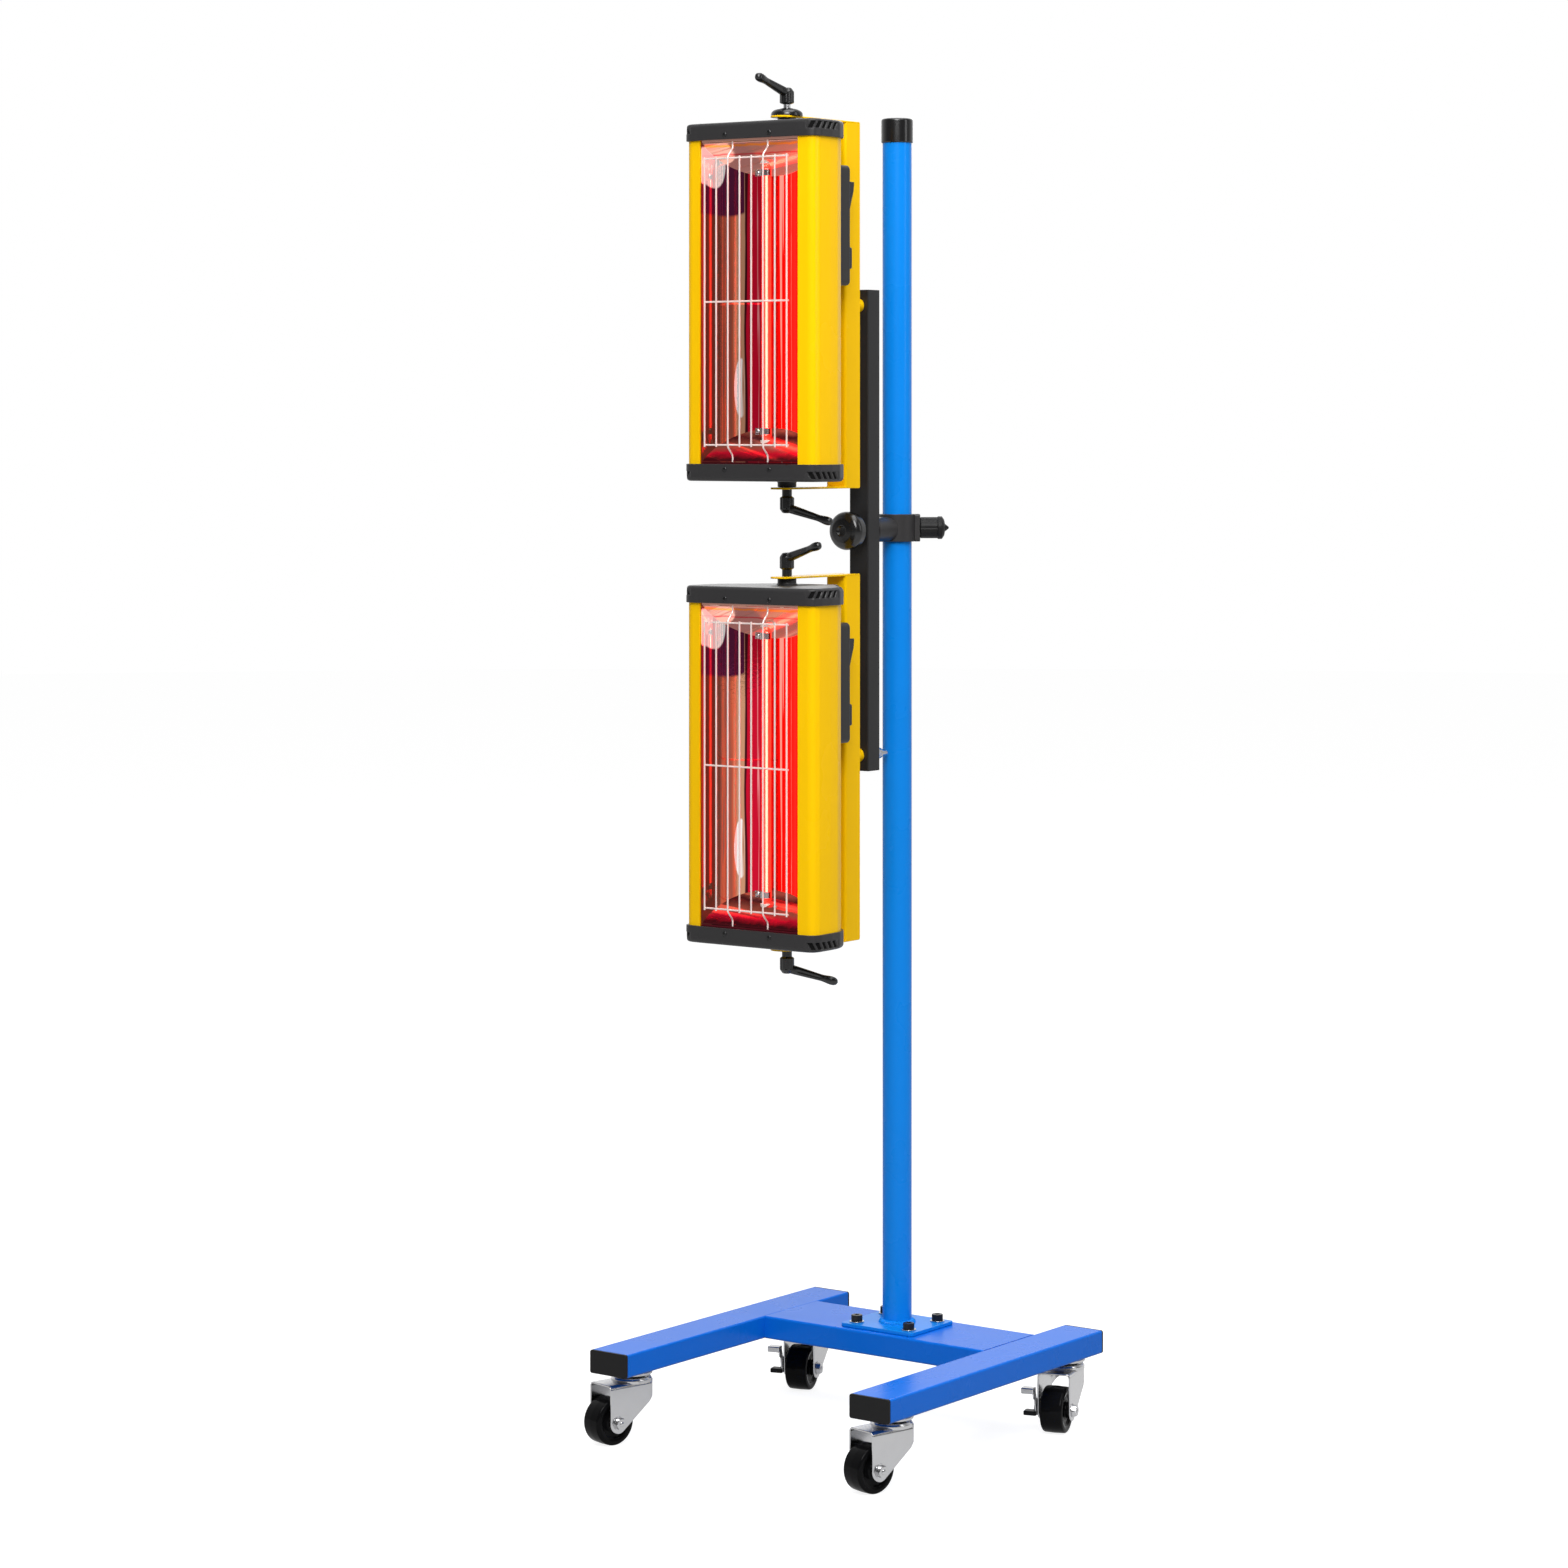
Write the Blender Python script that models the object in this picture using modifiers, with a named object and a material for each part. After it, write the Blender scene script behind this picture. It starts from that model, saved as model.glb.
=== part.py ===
"""Infrared paint curing lamp on a rolling stand.

Two lamp heads hang in yellow brackets on a black bar, and the bar is clamped to
a blue pole that stands on a frame with four swivel castors. All sizes are in
metres, +Z is up, and the lamps face -Y.
"""
from math import cos, pi, radians, sin

import bmesh
import bpy
from mathutils import Matrix, Vector

for old in list(bpy.data.objects):
    bpy.data.objects.remove(old)

# Fits
GAP = 0.0003
OVERRUN = 0.0010
WELD = 0.000001

# Place of the pole's axis, so that the origin is under the middle of the whole
STAND_X = -0.00189
STAND_Y = 0.09757

# Base frame of rectangular tube
TUBE_HEIGHT = 0.0250
TUBE_WALL = 0.0015
TUBE_CORNER = 0.0020
LEG_LENGTH = 0.4000
LEG_WIDTH = 0.0500
LEG_SPREAD = 0.3400
LEG_FRONT_REACH = 0.2900
RAIL_DEPTH = 0.1000
RAIL_SETBACK = 0.0020
END_CAP_FACE = 0.0030
END_CAP_PLUG = 0.0100

# Base plate and its screws
PLATE_WIDTH = 0.0950
PLATE_DEPTH = 0.0810
PLATE_THICKNESS = 0.0038
PLATE_CORNER = 0.0030
WELD_BEAD = 0.0035
SCREW_INSET = 0.0130
SCREW_RADIUS = 0.0030
SCREW_HEAD_RADIUS = 0.0060
SCREW_HEAD_HEIGHT = 0.0065
SCREW_SOCKET_RADIUS = 0.0030
SCREW_SOCKET_DEPTH = 0.0030
SCREW_REACH = 0.0100
WASHER_RADIUS = 0.0080
WASHER_THICKNESS = 0.0012

# Pole
POLE_RADIUS = 0.0160
POLE_WALL = 0.0015
POLE_TOP = 1.4180
POLE_CAP_WALL = 0.0010
POLE_CAP_SKIRT = 0.0233
POLE_CAP_CROWN = 0.0034

# Castors
WHEEL_RADIUS = 0.0250
WHEEL_WIDTH = 0.0210
WHEEL_HUB_RADIUS = 0.0080
AXLE_RADIUS = 0.0030
CASTOR_HEIGHT = 0.0750
CASTOR_TRAIL = 0.0310
FRONT_CASTOR_INSET = 0.0370
REAR_CASTOR_INSET = 0.0364
FRONT_CASTOR_TURN = radians(-103.5)
REAR_CASTOR_TURN = radians(-73.5)
RACE_RADIUS = 0.0225
RACE_DROP = 0.0060
KINGPIN_RADIUS = 0.0040
FORK_WIDTH = 0.0350
FORK_SHEET = 0.0020
FORK_CROWN_DROP = 0.0064
FORK_STEP_DROP = 0.0130
FORK_FRONT_REACH = 0.0110
FORK_EYE_RADIUS = 0.0110
FORK_REAR_DROP = 0.0210
AXLE_NUT_RADIUS = 0.0065
AXLE_NUT_LENGTH = 0.0050
AXLE_HEAD_LENGTH = 0.0025

# Brake levers of the rear castors
BRAKE_SHEET = 0.0020
BRAKE_TAB_LENGTH = 0.0130
BRAKE_TAB_WIDTH = 0.0110
BRAKE_REACH = 0.0180
BRAKE_RISE = 0.0230
BRAKE_EYE_RADIUS = 0.0060

# Clamp round the pole
CLAMP_HEIGHT = 0.9740
LINER_WALL = 0.0012
LINER_HEIGHT = 0.0265
COLLAR_WALL = 0.0026
COLLAR_HEIGHT = 0.0290
LUG_REACH = 0.0250
LUG_WIDTH = 0.0200
HAND_KNOB_TURN = radians(36.5)
HAND_KNOB_RADIUS = 0.0118
HAND_KNOB_GRIP = 0.0190
HAND_KNOB_RIM_RADIUS = 0.0125
HAND_KNOB_RIM = 0.0074
HAND_KNOB_TIP = 0.0054
HAND_KNOB_STUD_RADIUS = 0.0030
HAND_KNOB_STUD = 0.0045

# Bar that carries both heads, its spindle and its round knob
BAR_WIDTH = 0.0250
BAR_DEPTH = 0.0220
BAR_WALL = 0.0020
BAR_END_MARGIN = 0.0170
BAR_FRONT = 0.0724
BAR_CENTRE_HEIGHT = 0.9720
SPINDLE_RADIUS = 0.0040
SPINDLE_SEAT = 0.0150
BAR_KNOB_RADIUS = 0.0210
BAR_KNOB_DEPTH = 0.0330
BAR_KNOB_RIM = 0.0120
BAR_KNOB_HUB_RADIUS = 0.0110
BAR_KNOB_RECESS_RADIUS = 0.0045
BAR_KNOB_RECESS = 0.0020
BAR_BOSS_RADIUS = 0.0135

# Brackets, bent from sheet
LEVER_ROOM = 0.0460
BRACKET_WIDTH = 0.0260
BRACKET_SHEET = 0.0020
BRACKET_WEB_REACH = 0.0880
BRACKET_FLANGE_DEPTH = 0.0270
BRACKET_TIP_REACH = 0.0200
PIVOT_FORWARD = 0.2030
BRACKET_BOLT_RADIUS = 0.0040
BRACKET_BOLT_HEAD_RADIUS = 0.0065
BRACKET_BOLT_HEAD = 0.0030
SLEEVE_RADIUS = 0.0075
LOCK_NUT_RADIUS = 0.0072
LOCK_NUT_LENGTH = 0.0160
BOLT_TAIL = 0.0110

# Lamp heads
BODY_LENGTH = 0.3400
BODY_HALF_WIDTH = 0.0840
BODY_FRONT = 0.0680
BODY_BACK = 0.0380
BODY_SHEET = 0.0015
BODY_TUCK = 0.0040
CAP_HEIGHT = 0.0180
CAP_WALL = 0.0025
CAP_LID = 0.0030
CAP_EDGE = 0.0045
BOSS_RADIUS = 0.0100
BOSS_HEIGHT = 0.0067
REFLECTOR_SHEET = 0.0010
REFLECTOR_HALF_WIDTH = 0.0625
REFLECTOR_DEPTH = 0.0640
REFLECTOR_PLATE_SETBACK = 0.0055
LAMP_FORWARD = 0.0360
LAMP_RADIUS = 0.0050
LAMP_END_RADIUS = 0.0065
LAMP_END_LENGTH = 0.0140
LAMP_PIN_RADIUS = 0.0030
LAMP_PIN_LENGTH = 0.0080
WIRE_RADIUS = 0.0010
WIRE_SPACING = 0.0153
WIRE_COUNT = 8
WIRE_FORWARD = 0.0730
WIRE_HALF_LENGTH = 0.1520
CROSS_WIRE_BACK = 0.0016
HOOK_BACK = 0.0085
HOOK_DROP = 0.0090

# Switch boxes on the heads' backs
SWITCH_BOX_BOTTOM = 0.0190
SWITCH_BOX_TOP = 0.1470
SWITCH_BOX_HALF_WIDTH = 0.0380
SWITCH_BOX_DEPTH = 0.0240
SWITCH_BOX_CORNER = 0.0050
GLAND_CENTRE = 0.0485
GLAND_HEIGHT = 0.0230
GLAND_DEPTH = 0.0060
ROCKER_CENTRE = 0.1140
ROCKER_HEIGHT = 0.0320
ROCKER_WIDTH = 0.0180
ROCKER_THICK_END = 0.0100
ROCKER_THIN_END = 0.0012
ROCKER_BELLY = 0.0070
ROCKER_POCKET = 0.0090
ROCKER_SWING_ROOM = 0.0015
ROCKER_INSET = 0.0020

# Clamping levers on the heads' pivots
LEVER_STUD_RADIUS = 0.0040
LEVER_NECK_RADIUS = 0.0053
LEVER_NECK_HEIGHT = 0.0080
LEVER_HUB_RADIUS = 0.0073
LEVER_HUB_TOP = 0.0250
LEVER_HUB_EDGE = 0.0020
LEVER_ARM_LENGTH = 0.0560
LEVER_ARM_RADIUS = 0.0040
LEVER_ARM_ROOT = 0.0190
LEVER_SLOPE = radians(16.0)
DISC_RADIUS = 0.0170
DISC_HEIGHT = 0.0045
DISC_TOP_RADIUS = 0.0065
LEVER_LIFT = 0.0005

# Outline of half a lamp body seen from above, as shares of its half width and of
# its depth, from the lip of the front opening round the side to the back
BODY_OUTLINE_SHARES = (
    (0.762, 0.000), (0.917, 0.010), (0.975, 0.036), (1.000, 0.104), (1.000, 0.283),
    (0.988, 0.420), (0.950, 0.515), (0.880, 0.588), (0.738, 0.689), (0.600, 0.800),
    (0.510, 0.905), (0.476, 1.000),
)
# The reflector's half section, as shares of its half width and of its depth
REFLECTOR_OUTLINE_SHARES = (
    (1.00, 0.00), (0.96, 0.28), (0.83, 0.55), (0.62, 0.79), (0.36, 0.95), (0.10, 1.00),
)
# A clamping lever's arm, as shares of its length and of its thickness
LEVER_ARM_SHARES = ((0.00, 1.00), (0.20, 1.00), (0.68, 0.78), (0.84, 1.00), (0.96, 0.84), (1.00, 0.40))
# The wheel's half section, as shares of its width and of its radius
WHEEL_SHARES = ((0.50, 0.76), (0.40, 0.93), (0.20, 1.00))

# Stack of a head between its bracket's arms, and of both heads along the bar
CAP_BOTTOM = BODY_LENGTH / 2
CAP_TOP = CAP_BOTTOM + CAP_HEIGHT
BOSS_TOP = CAP_TOP + BOSS_HEIGHT
BRACKET_OUTER_HALF = BOSS_TOP + GAP + BRACKET_SHEET
HEAD_SPACING = 2 * (BRACKET_OUTER_HALF + LEVER_ROOM)
BAR_LENGTH = HEAD_SPACING + 2 * BAR_END_MARGIN

ROUND_SIDES = 24
MEDIUM_SIDES = 16
SMALL_SIDES = 12

# Colours
BLUE = (0.02, 0.16, 0.62)
YELLOW = (0.95, 0.62, 0.01)
BLACK = (0.02, 0.02, 0.02)
CHARCOAL = (0.06, 0.06, 0.065)
STEEL = (0.60, 0.60, 0.61)
MIRROR = (0.85, 0.83, 0.80)
GLOW = (0.90, 0.10, 0.04)
RUBBER = (0.015, 0.015, 0.015)

# The planes that flat outlines are drawn in: x and y of the outline, then its thickness
LYING = Matrix.Identity(4)
FACING_SIDE = Matrix(((0, 0, 1, 0), (1, 0, 0, 0), (0, 1, 0, 0), (0, 0, 0, 1)))
FACING_FRONT = Matrix(((1, 0, 0, 0), (0, 0, -1, 0), (0, 1, 0, 0), (0, 0, 0, 1)))
ALONG_X = Matrix.Rotation(pi / 2, 4, "Y")
ALONG_Y = Matrix.Rotation(-pi / 2, 4, "X")

parts = bpy.data.collections.new("infrared_paint_curing_lamp")
bpy.context.scene.collection.children.link(parts)


def shift(x, y, z):
    """Movement by three lengths, as a matrix."""
    return Matrix.Translation(Vector((x, y, z)))


def solid(mesh):
    """A new object that holds a mesh."""
    obj = bpy.data.objects.new(mesh.name, mesh)
    parts.objects.link(obj)
    return obj


def bake(obj):
    """Give an object the mesh that its modifiers make."""
    graph = bpy.context.evaluated_depsgraph_get()
    mesh = bpy.data.meshes.new_from_object(obj.evaluated_get(graph))
    obj.modifiers.clear()
    obj.data = mesh
    return obj


def combine(operation, body, tools):
    """Join solids to a body, or cut them out of it."""
    for tool in tools:
        modifier = body.modifiers.new(operation.title(), "BOOLEAN")
        modifier.operation = operation
        modifier.solver = "EXACT"
        modifier.object = tool
        bake(body)
        bpy.data.objects.remove(tool)
    return body


def joined(body, *tools):
    """One body out of solids that reach into each other."""
    return combine("UNION", body, tools)


def cut(body, *tools):
    """A body with the other solids taken out of it."""
    return combine("DIFFERENCE", body, tools)


def box(low, high):
    """Box between two corners."""
    low = Vector(low)
    high = Vector(high)
    size = high - low
    mesh = bpy.data.meshes.new("box")
    shape = bmesh.new()
    matrix = Matrix.Translation((low + high) / 2) @ Matrix.Diagonal((*size, 1))
    bmesh.ops.create_cube(shape, size=1, matrix=matrix)
    shape.to_mesh(mesh)
    shape.free()
    return solid(mesh)


def rod(radius, start, end, sides=SMALL_SIDES, end_radius=None):
    """Round bar or cone between two points."""
    start = Vector(start)
    end = Vector(end)
    along = end - start
    matrix = Matrix.Translation((start + end) / 2) @ along.to_track_quat("Z", "Y").to_matrix().to_4x4()
    if end_radius is None:
        end_radius = radius
    mesh = bpy.data.meshes.new("rod")
    shape = bmesh.new()
    bmesh.ops.create_cone(shape, cap_ends=True, segments=sides, radius1=radius, radius2=end_radius,
                          depth=along.length, matrix=matrix)
    shape.to_mesh(mesh)
    shape.free()
    return solid(mesh)


def plate(loops, thickness, matrix=LYING):
    """Flat outlines, drawn as a curve and thickened evenly to both sides."""
    curve = bpy.data.curves.new("plate", "CURVE")
    curve.dimensions = "2D"
    curve.fill_mode = "BOTH"
    curve.extrude = thickness / 2
    for loop in loops:
        spline = curve.splines.new("POLY")
        spline.points.add(len(loop) - 1)
        for point, (x, y) in zip(spline.points, loop):
            point.co = (x, y, 0, 1)
        spline.use_cyclic_u = True
    drawn = bpy.data.objects.new("plate", curve)
    parts.objects.link(drawn)
    graph = bpy.context.evaluated_depsgraph_get()
    mesh = bpy.data.meshes.new_from_object(drawn.evaluated_get(graph))
    bpy.data.objects.remove(drawn)
    shape = bmesh.new()
    shape.from_mesh(mesh)
    bmesh.ops.remove_doubles(shape, verts=shape.verts, dist=WELD)
    bmesh.ops.recalc_face_normals(shape, faces=shape.faces)
    shape.to_mesh(mesh)
    shape.free()
    mesh.transform(matrix)
    return solid(mesh)


def turned(profile, sides=ROUND_SIDES, matrix=LYING, closed=False):
    """Turned shape round Z, from a profile of radius and height that runs down its outer side."""
    mesh = bpy.data.meshes.new("turned")
    count = len(profile)
    edges = [(n, n + 1) for n in range(count - 1)]
    if closed:
        edges.append((count - 1, 0))
    mesh.from_pydata([(radius, 0, height) for radius, height in profile], edges, [])
    obj = solid(mesh)
    screw = obj.modifiers.new("Screw", "SCREW")
    screw.steps = sides
    screw.render_steps = sides
    screw.use_merge_vertices = True
    screw.merge_threshold = WELD
    bake(obj)
    obj.data.transform(matrix)
    return obj


def rounded(width, height, radius, steps=2):
    """Outline of a rectangle with round corners, about its middle."""
    points = []
    corners = ((1, 1), (-1, 1), (-1, -1), (1, -1))
    for number, (side_x, side_y) in enumerate(corners):
        for step in range(steps + 1):
            angle = pi / 2 * (number + step / steps)
            x = side_x * (width / 2 - radius) + radius * cos(angle)
            y = side_y * (height / 2 - radius) + radius * sin(angle)
            points.append((x, y))
    return points


def moved_out(points, distance, closed=True):
    """Outline moved out to its right-hand side by a distance, with mitred corners."""
    count = len(points)
    result = []
    for number in range(count):
        here = Vector(points[number])
        before = Vector(points[number - 1]) if closed or number else None
        after = Vector(points[(number + 1) % count]) if closed or number < count - 1 else None
        sides = []
        for first, second in ((before, here), (here, after)):
            if first is None or second is None:
                continue
            run = (second - first).normalized()
            sides.append(Vector((run.y, -run.x)))
        normal = sum(sides, Vector((0, 0))).normalized()
        reach = distance / normal.dot(sides[0])
        result.append(tuple(here + normal * reach))
    return result


def place(obj, name, look, parent, location=(0, 0, 0), turn=0):
    """Name a finished solid, give it its material and set it under its parent."""
    colour, roughness, metallic = look
    material = bpy.data.materials.new(name)
    material.use_nodes = True
    shader = material.node_tree.nodes["Principled BSDF"]
    shader.inputs["Base Color"].default_value = (*colour, 1)
    shader.inputs["Roughness"].default_value = roughness
    shader.inputs["Metallic"].default_value = metallic
    obj.name = name
    obj.data.name = name
    obj.data.materials.clear()
    obj.data.materials.append(material)
    obj.data.shade_smooth()
    obj.data.set_sharp_from_angle(angle=radians(40))
    obj.parent = parent
    obj.location = location
    obj.rotation_euler = (0, 0, turn)
    return obj


def empty(name, parent, location, turn=0):
    """Axis that a moving group is set on."""
    obj = bpy.data.objects.new(name, None)
    parts.objects.link(obj)
    obj.parent = parent
    obj.location = location
    obj.rotation_euler = (0, 0, turn)
    return obj


def bore(radius, sides=SMALL_SIDES):
    """Corner radius of a round hole with flat sides that clears a round bar."""
    return (radius + GAP) / cos(pi / sides)


PAINT_BLUE = (BLUE, 0.25, 0.0)
PAINT_YELLOW = (YELLOW, 0.25, 0.0)
PLASTIC_BLACK = (BLACK, 0.35, 0.0)
PLASTIC_CHARCOAL = (CHARCOAL, 0.45, 0.0)
ZINC = (STEEL, 0.30, 1.0)
POLISHED = (MIRROR, 0.08, 1.0)
TYRE = (RUBBER, 0.40, 0.0)

FRAME_TOP = CASTOR_HEIGHT + TUBE_HEIGHT
PLATE_BOTTOM = FRAME_TOP + GAP
PLATE_TOP = PLATE_BOTTOM + PLATE_THICKNESS


def leg():
    """Rectangular tube along Y."""
    outer = rounded(LEG_WIDTH, TUBE_HEIGHT, TUBE_CORNER)
    inner = rounded(LEG_WIDTH - 2 * TUBE_WALL, TUBE_HEIGHT - 2 * TUBE_WALL, TUBE_CORNER / 2)
    return plate((outer, inner), LEG_LENGTH, FACING_FRONT)


def end_cap(facing):
    """Cap on a leg's end: a face plate and the plug that grips inside the tube."""
    face_start = facing * GAP
    face_end = facing * (GAP + END_CAP_FACE)
    middle = (face_start + face_end) / 2
    outline = rounded(LEG_WIDTH, TUBE_HEIGHT, TUBE_CORNER)
    face = plate((outline,), END_CAP_FACE, shift(0, middle, 0) @ FACING_FRONT)
    plug_width = LEG_WIDTH - 2 * TUBE_WALL - 2 * GAP
    plug_height = TUBE_HEIGHT - 2 * TUBE_WALL - 2 * GAP
    length = END_CAP_PLUG + GAP + END_CAP_FACE / 2
    middle = facing * (GAP + END_CAP_FACE / 2 - length / 2)
    outline = rounded(plug_width, plug_height, TUBE_CORNER / 2)
    plug = plate((outline,), length, shift(0, middle, 0) @ FACING_FRONT)
    return joined(face, plug)


def screw_places():
    """Places of the four screws about the pole's axis."""
    x = PLATE_WIDTH / 2 - SCREW_INSET
    y = PLATE_DEPTH / 2 - SCREW_INSET
    return [(side_x * x, side_y * y) for side_y in (-1, 1) for side_x in (-1, 1)]


def rail():
    """Rectangular tube along X between the legs, with holes for the base plate's screws."""
    length = LEG_SPREAD - LEG_WIDTH - 2 * GAP
    outer = rounded(RAIL_DEPTH, TUBE_HEIGHT, TUBE_CORNER)
    inner = rounded(RAIL_DEPTH - 2 * TUBE_WALL, TUBE_HEIGHT - 2 * TUBE_WALL, TUBE_CORNER / 2)
    tube = plate((outer, inner), length, FACING_SIDE)
    low = TUBE_HEIGHT / 2 - TUBE_WALL - OVERRUN
    high = TUBE_HEIGHT / 2 + OVERRUN
    radius = bore(SCREW_RADIUS)
    holes = [rod(radius, (x, y - RAIL_SETBACK, low), (x, y - RAIL_SETBACK, high)) for x, y in screw_places()]
    return cut(tube, *holes)


def base_plate():
    """Plate on the rail with the weld bead that runs round the pole's foot."""
    outline = rounded(PLATE_WIDTH, PLATE_DEPTH, PLATE_CORNER)
    body = plate((outline,), PLATE_THICKNESS, shift(0, 0, PLATE_THICKNESS / 2))
    inner = bore(POLE_RADIUS, ROUND_SIDES)
    root = inner + WELD_BEAD
    top = PLATE_THICKNESS + WELD_BEAD
    sunk = PLATE_THICKNESS / 2
    bead = turned([(inner, top), (root, PLATE_THICKNESS), (root, sunk), (inner, sunk)], closed=True)
    joined(body, bead)
    radius = bore(SCREW_RADIUS)
    holes = [rod(radius, (x, y, -OVERRUN), (x, y, PLATE_THICKNESS + OVERRUN)) for x, y in screw_places()]
    return cut(body, *holes)


def base_screw():
    """Socket-head screw with its washer, from the plate's top down through the rail's wall."""
    top = GAP + WASHER_THICKNESS + SCREW_HEAD_HEIGHT
    neck = GAP + WASHER_THICKNESS
    profile = [
        (0, top - SCREW_SOCKET_DEPTH), (SCREW_SOCKET_RADIUS, top - SCREW_SOCKET_DEPTH),
        (SCREW_SOCKET_RADIUS, top), (SCREW_HEAD_RADIUS, top), (SCREW_HEAD_RADIUS, neck),
        (WASHER_RADIUS, neck), (WASHER_RADIUS, GAP), (SCREW_RADIUS, GAP),
        (SCREW_RADIUS, -SCREW_REACH), (0, -SCREW_REACH),
    ]
    return turned(profile, SMALL_SIDES)


def pole():
    """Round tube that stands on the base plate."""
    foot = PLATE_TOP + GAP
    inner = POLE_RADIUS - POLE_WALL
    profile = [(inner, POLE_TOP), (POLE_RADIUS, POLE_TOP), (POLE_RADIUS, foot), (inner, foot)]
    return turned(profile, closed=True)


def pole_cap():
    """Domed cap over the pole's top end."""
    inner = bore(POLE_RADIUS, ROUND_SIDES)
    outer = inner + POLE_CAP_WALL
    under = POLE_TOP + GAP
    crown = under + POLE_CAP_CROWN
    bottom = POLE_TOP - POLE_CAP_SKIRT
    shoulder = POLE_CAP_CROWN / 2
    profile = [
        (0, crown), (outer / 2, crown - shoulder / 4), (outer - shoulder / 2, crown - shoulder),
        (outer, under), (outer, bottom), (inner, bottom), (inner, under), (0, under),
    ]
    return turned(profile)


def castor_mount():
    """Upper race and kingpin under a leg; z = 0 is the leg's underside."""
    top = -GAP
    lip = -RACE_DROP / 2
    under = -RACE_DROP
    neck = (RACE_RADIUS + KINGPIN_RADIUS) / 2
    end = -FORK_STEP_DROP - FORK_SHEET - GAP
    profile = [
        (0, top), (RACE_RADIUS - GAP, top), (RACE_RADIUS, lip), (neck, under), (KINGPIN_RADIUS, under),
        (KINGPIN_RADIUS, end), (0, end),
    ]
    return turned(profile, MEDIUM_SIDES)


AXLE_DROP = CASTOR_HEIGHT - WHEEL_RADIUS
BRAKE_ROOM = BRAKE_SHEET + 2 * GAP


def fork_side():
    """Outline of a fork's side: x along the trail, y up from the leg's underside."""
    front = CASTOR_TRAIL + FORK_FRONT_REACH
    back = -RACE_RADIUS + FORK_SHEET
    points = [(front, -FORK_STEP_DROP), (back, -FORK_STEP_DROP), (back, -FORK_REAR_DROP)]
    for angle in (225, 255, 285, 315, 345):
        turn = radians(angle)
        points.append((CASTOR_TRAIL + FORK_EYE_RADIUS * cos(turn), -AXLE_DROP + FORK_EYE_RADIUS * sin(turn)))
    points.append((front, -AXLE_DROP))
    return points


def fork(brake_room):
    """Pressed fork with its axle; z = 0 is the leg's underside and x runs along the trail."""
    inside = FORK_WIDTH / 2 - FORK_SHEET
    middle = FORK_WIDTH / 2 - FORK_SHEET / 2
    front = CASTOR_TRAIL + FORK_FRONT_REACH
    step_bottom = -FORK_STEP_DROP - FORK_SHEET
    body = box((-RACE_RADIUS + FORK_SHEET, -middle, step_bottom), (front, middle, -FORK_STEP_DROP))
    outline = fork_side()
    sides = [plate((outline,), FORK_SHEET, shift(0, side * middle, 0) @ FACING_FRONT) for side in (-1, 1)]
    hole = bore(KINGPIN_RADIUS, MEDIUM_SIDES)
    crown = turned([
        (0, -FORK_CROWN_DROP), (RACE_RADIUS - FORK_SHEET, -FORK_CROWN_DROP),
        (RACE_RADIUS, -FORK_CROWN_DROP - FORK_SHEET / 2),
        (RACE_RADIUS, -FORK_STEP_DROP - FORK_SHEET / 2), (0, -FORK_STEP_DROP - FORK_SHEET / 2),
    ], MEDIUM_SIDES)
    outside = FORK_WIDTH / 2
    axle = rod(AXLE_RADIUS, (CASTOR_TRAIL, -outside - brake_room - AXLE_HEAD_LENGTH / 2, -AXLE_DROP),
               (CASTOR_TRAIL, inside + FORK_SHEET / 2, -AXLE_DROP))
    nut = rod(AXLE_NUT_RADIUS, (CASTOR_TRAIL, outside - FORK_SHEET / 2, -AXLE_DROP),
              (CASTOR_TRAIL, outside + AXLE_NUT_LENGTH, -AXLE_DROP), 6)
    joined(body, *sides, crown, axle, nut)
    head_start = -outside - brake_room + (0 if brake_room else FORK_SHEET / 2)
    head = rod(AXLE_NUT_RADIUS, (CASTOR_TRAIL, head_start, -AXLE_DROP),
               (CASTOR_TRAIL, -outside - brake_room - AXLE_HEAD_LENGTH, -AXLE_DROP), 8)
    joined(body, head)
    return cut(body, rod(hole, (0, 0, -CASTOR_HEIGHT / 2), (0, 0, 0), MEDIUM_SIDES))


def wheel():
    """Wheel with a flat under its middle, turned round Y, about its own centre."""
    scale = 1 / cos(pi / ROUND_SIDES)
    half_hub = FORK_WIDTH / 2 - FORK_SHEET - GAP
    inner = bore(AXLE_RADIUS, ROUND_SIDES)
    side = [(WHEEL_HUB_RADIUS, half_hub)]
    side += [(share_r * WHEEL_RADIUS * scale, share_w * WHEEL_WIDTH) for share_w, share_r in WHEEL_SHARES]
    other_side = [(radius, -height) for radius, height in reversed(side)]
    profile = [(inner, half_hub)] + side + other_side + [(inner, -half_hub)]
    matrix = ALONG_Y @ Matrix.Rotation(pi / ROUND_SIDES, 4, "Z")
    return turned(profile, matrix=matrix, closed=True)


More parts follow.
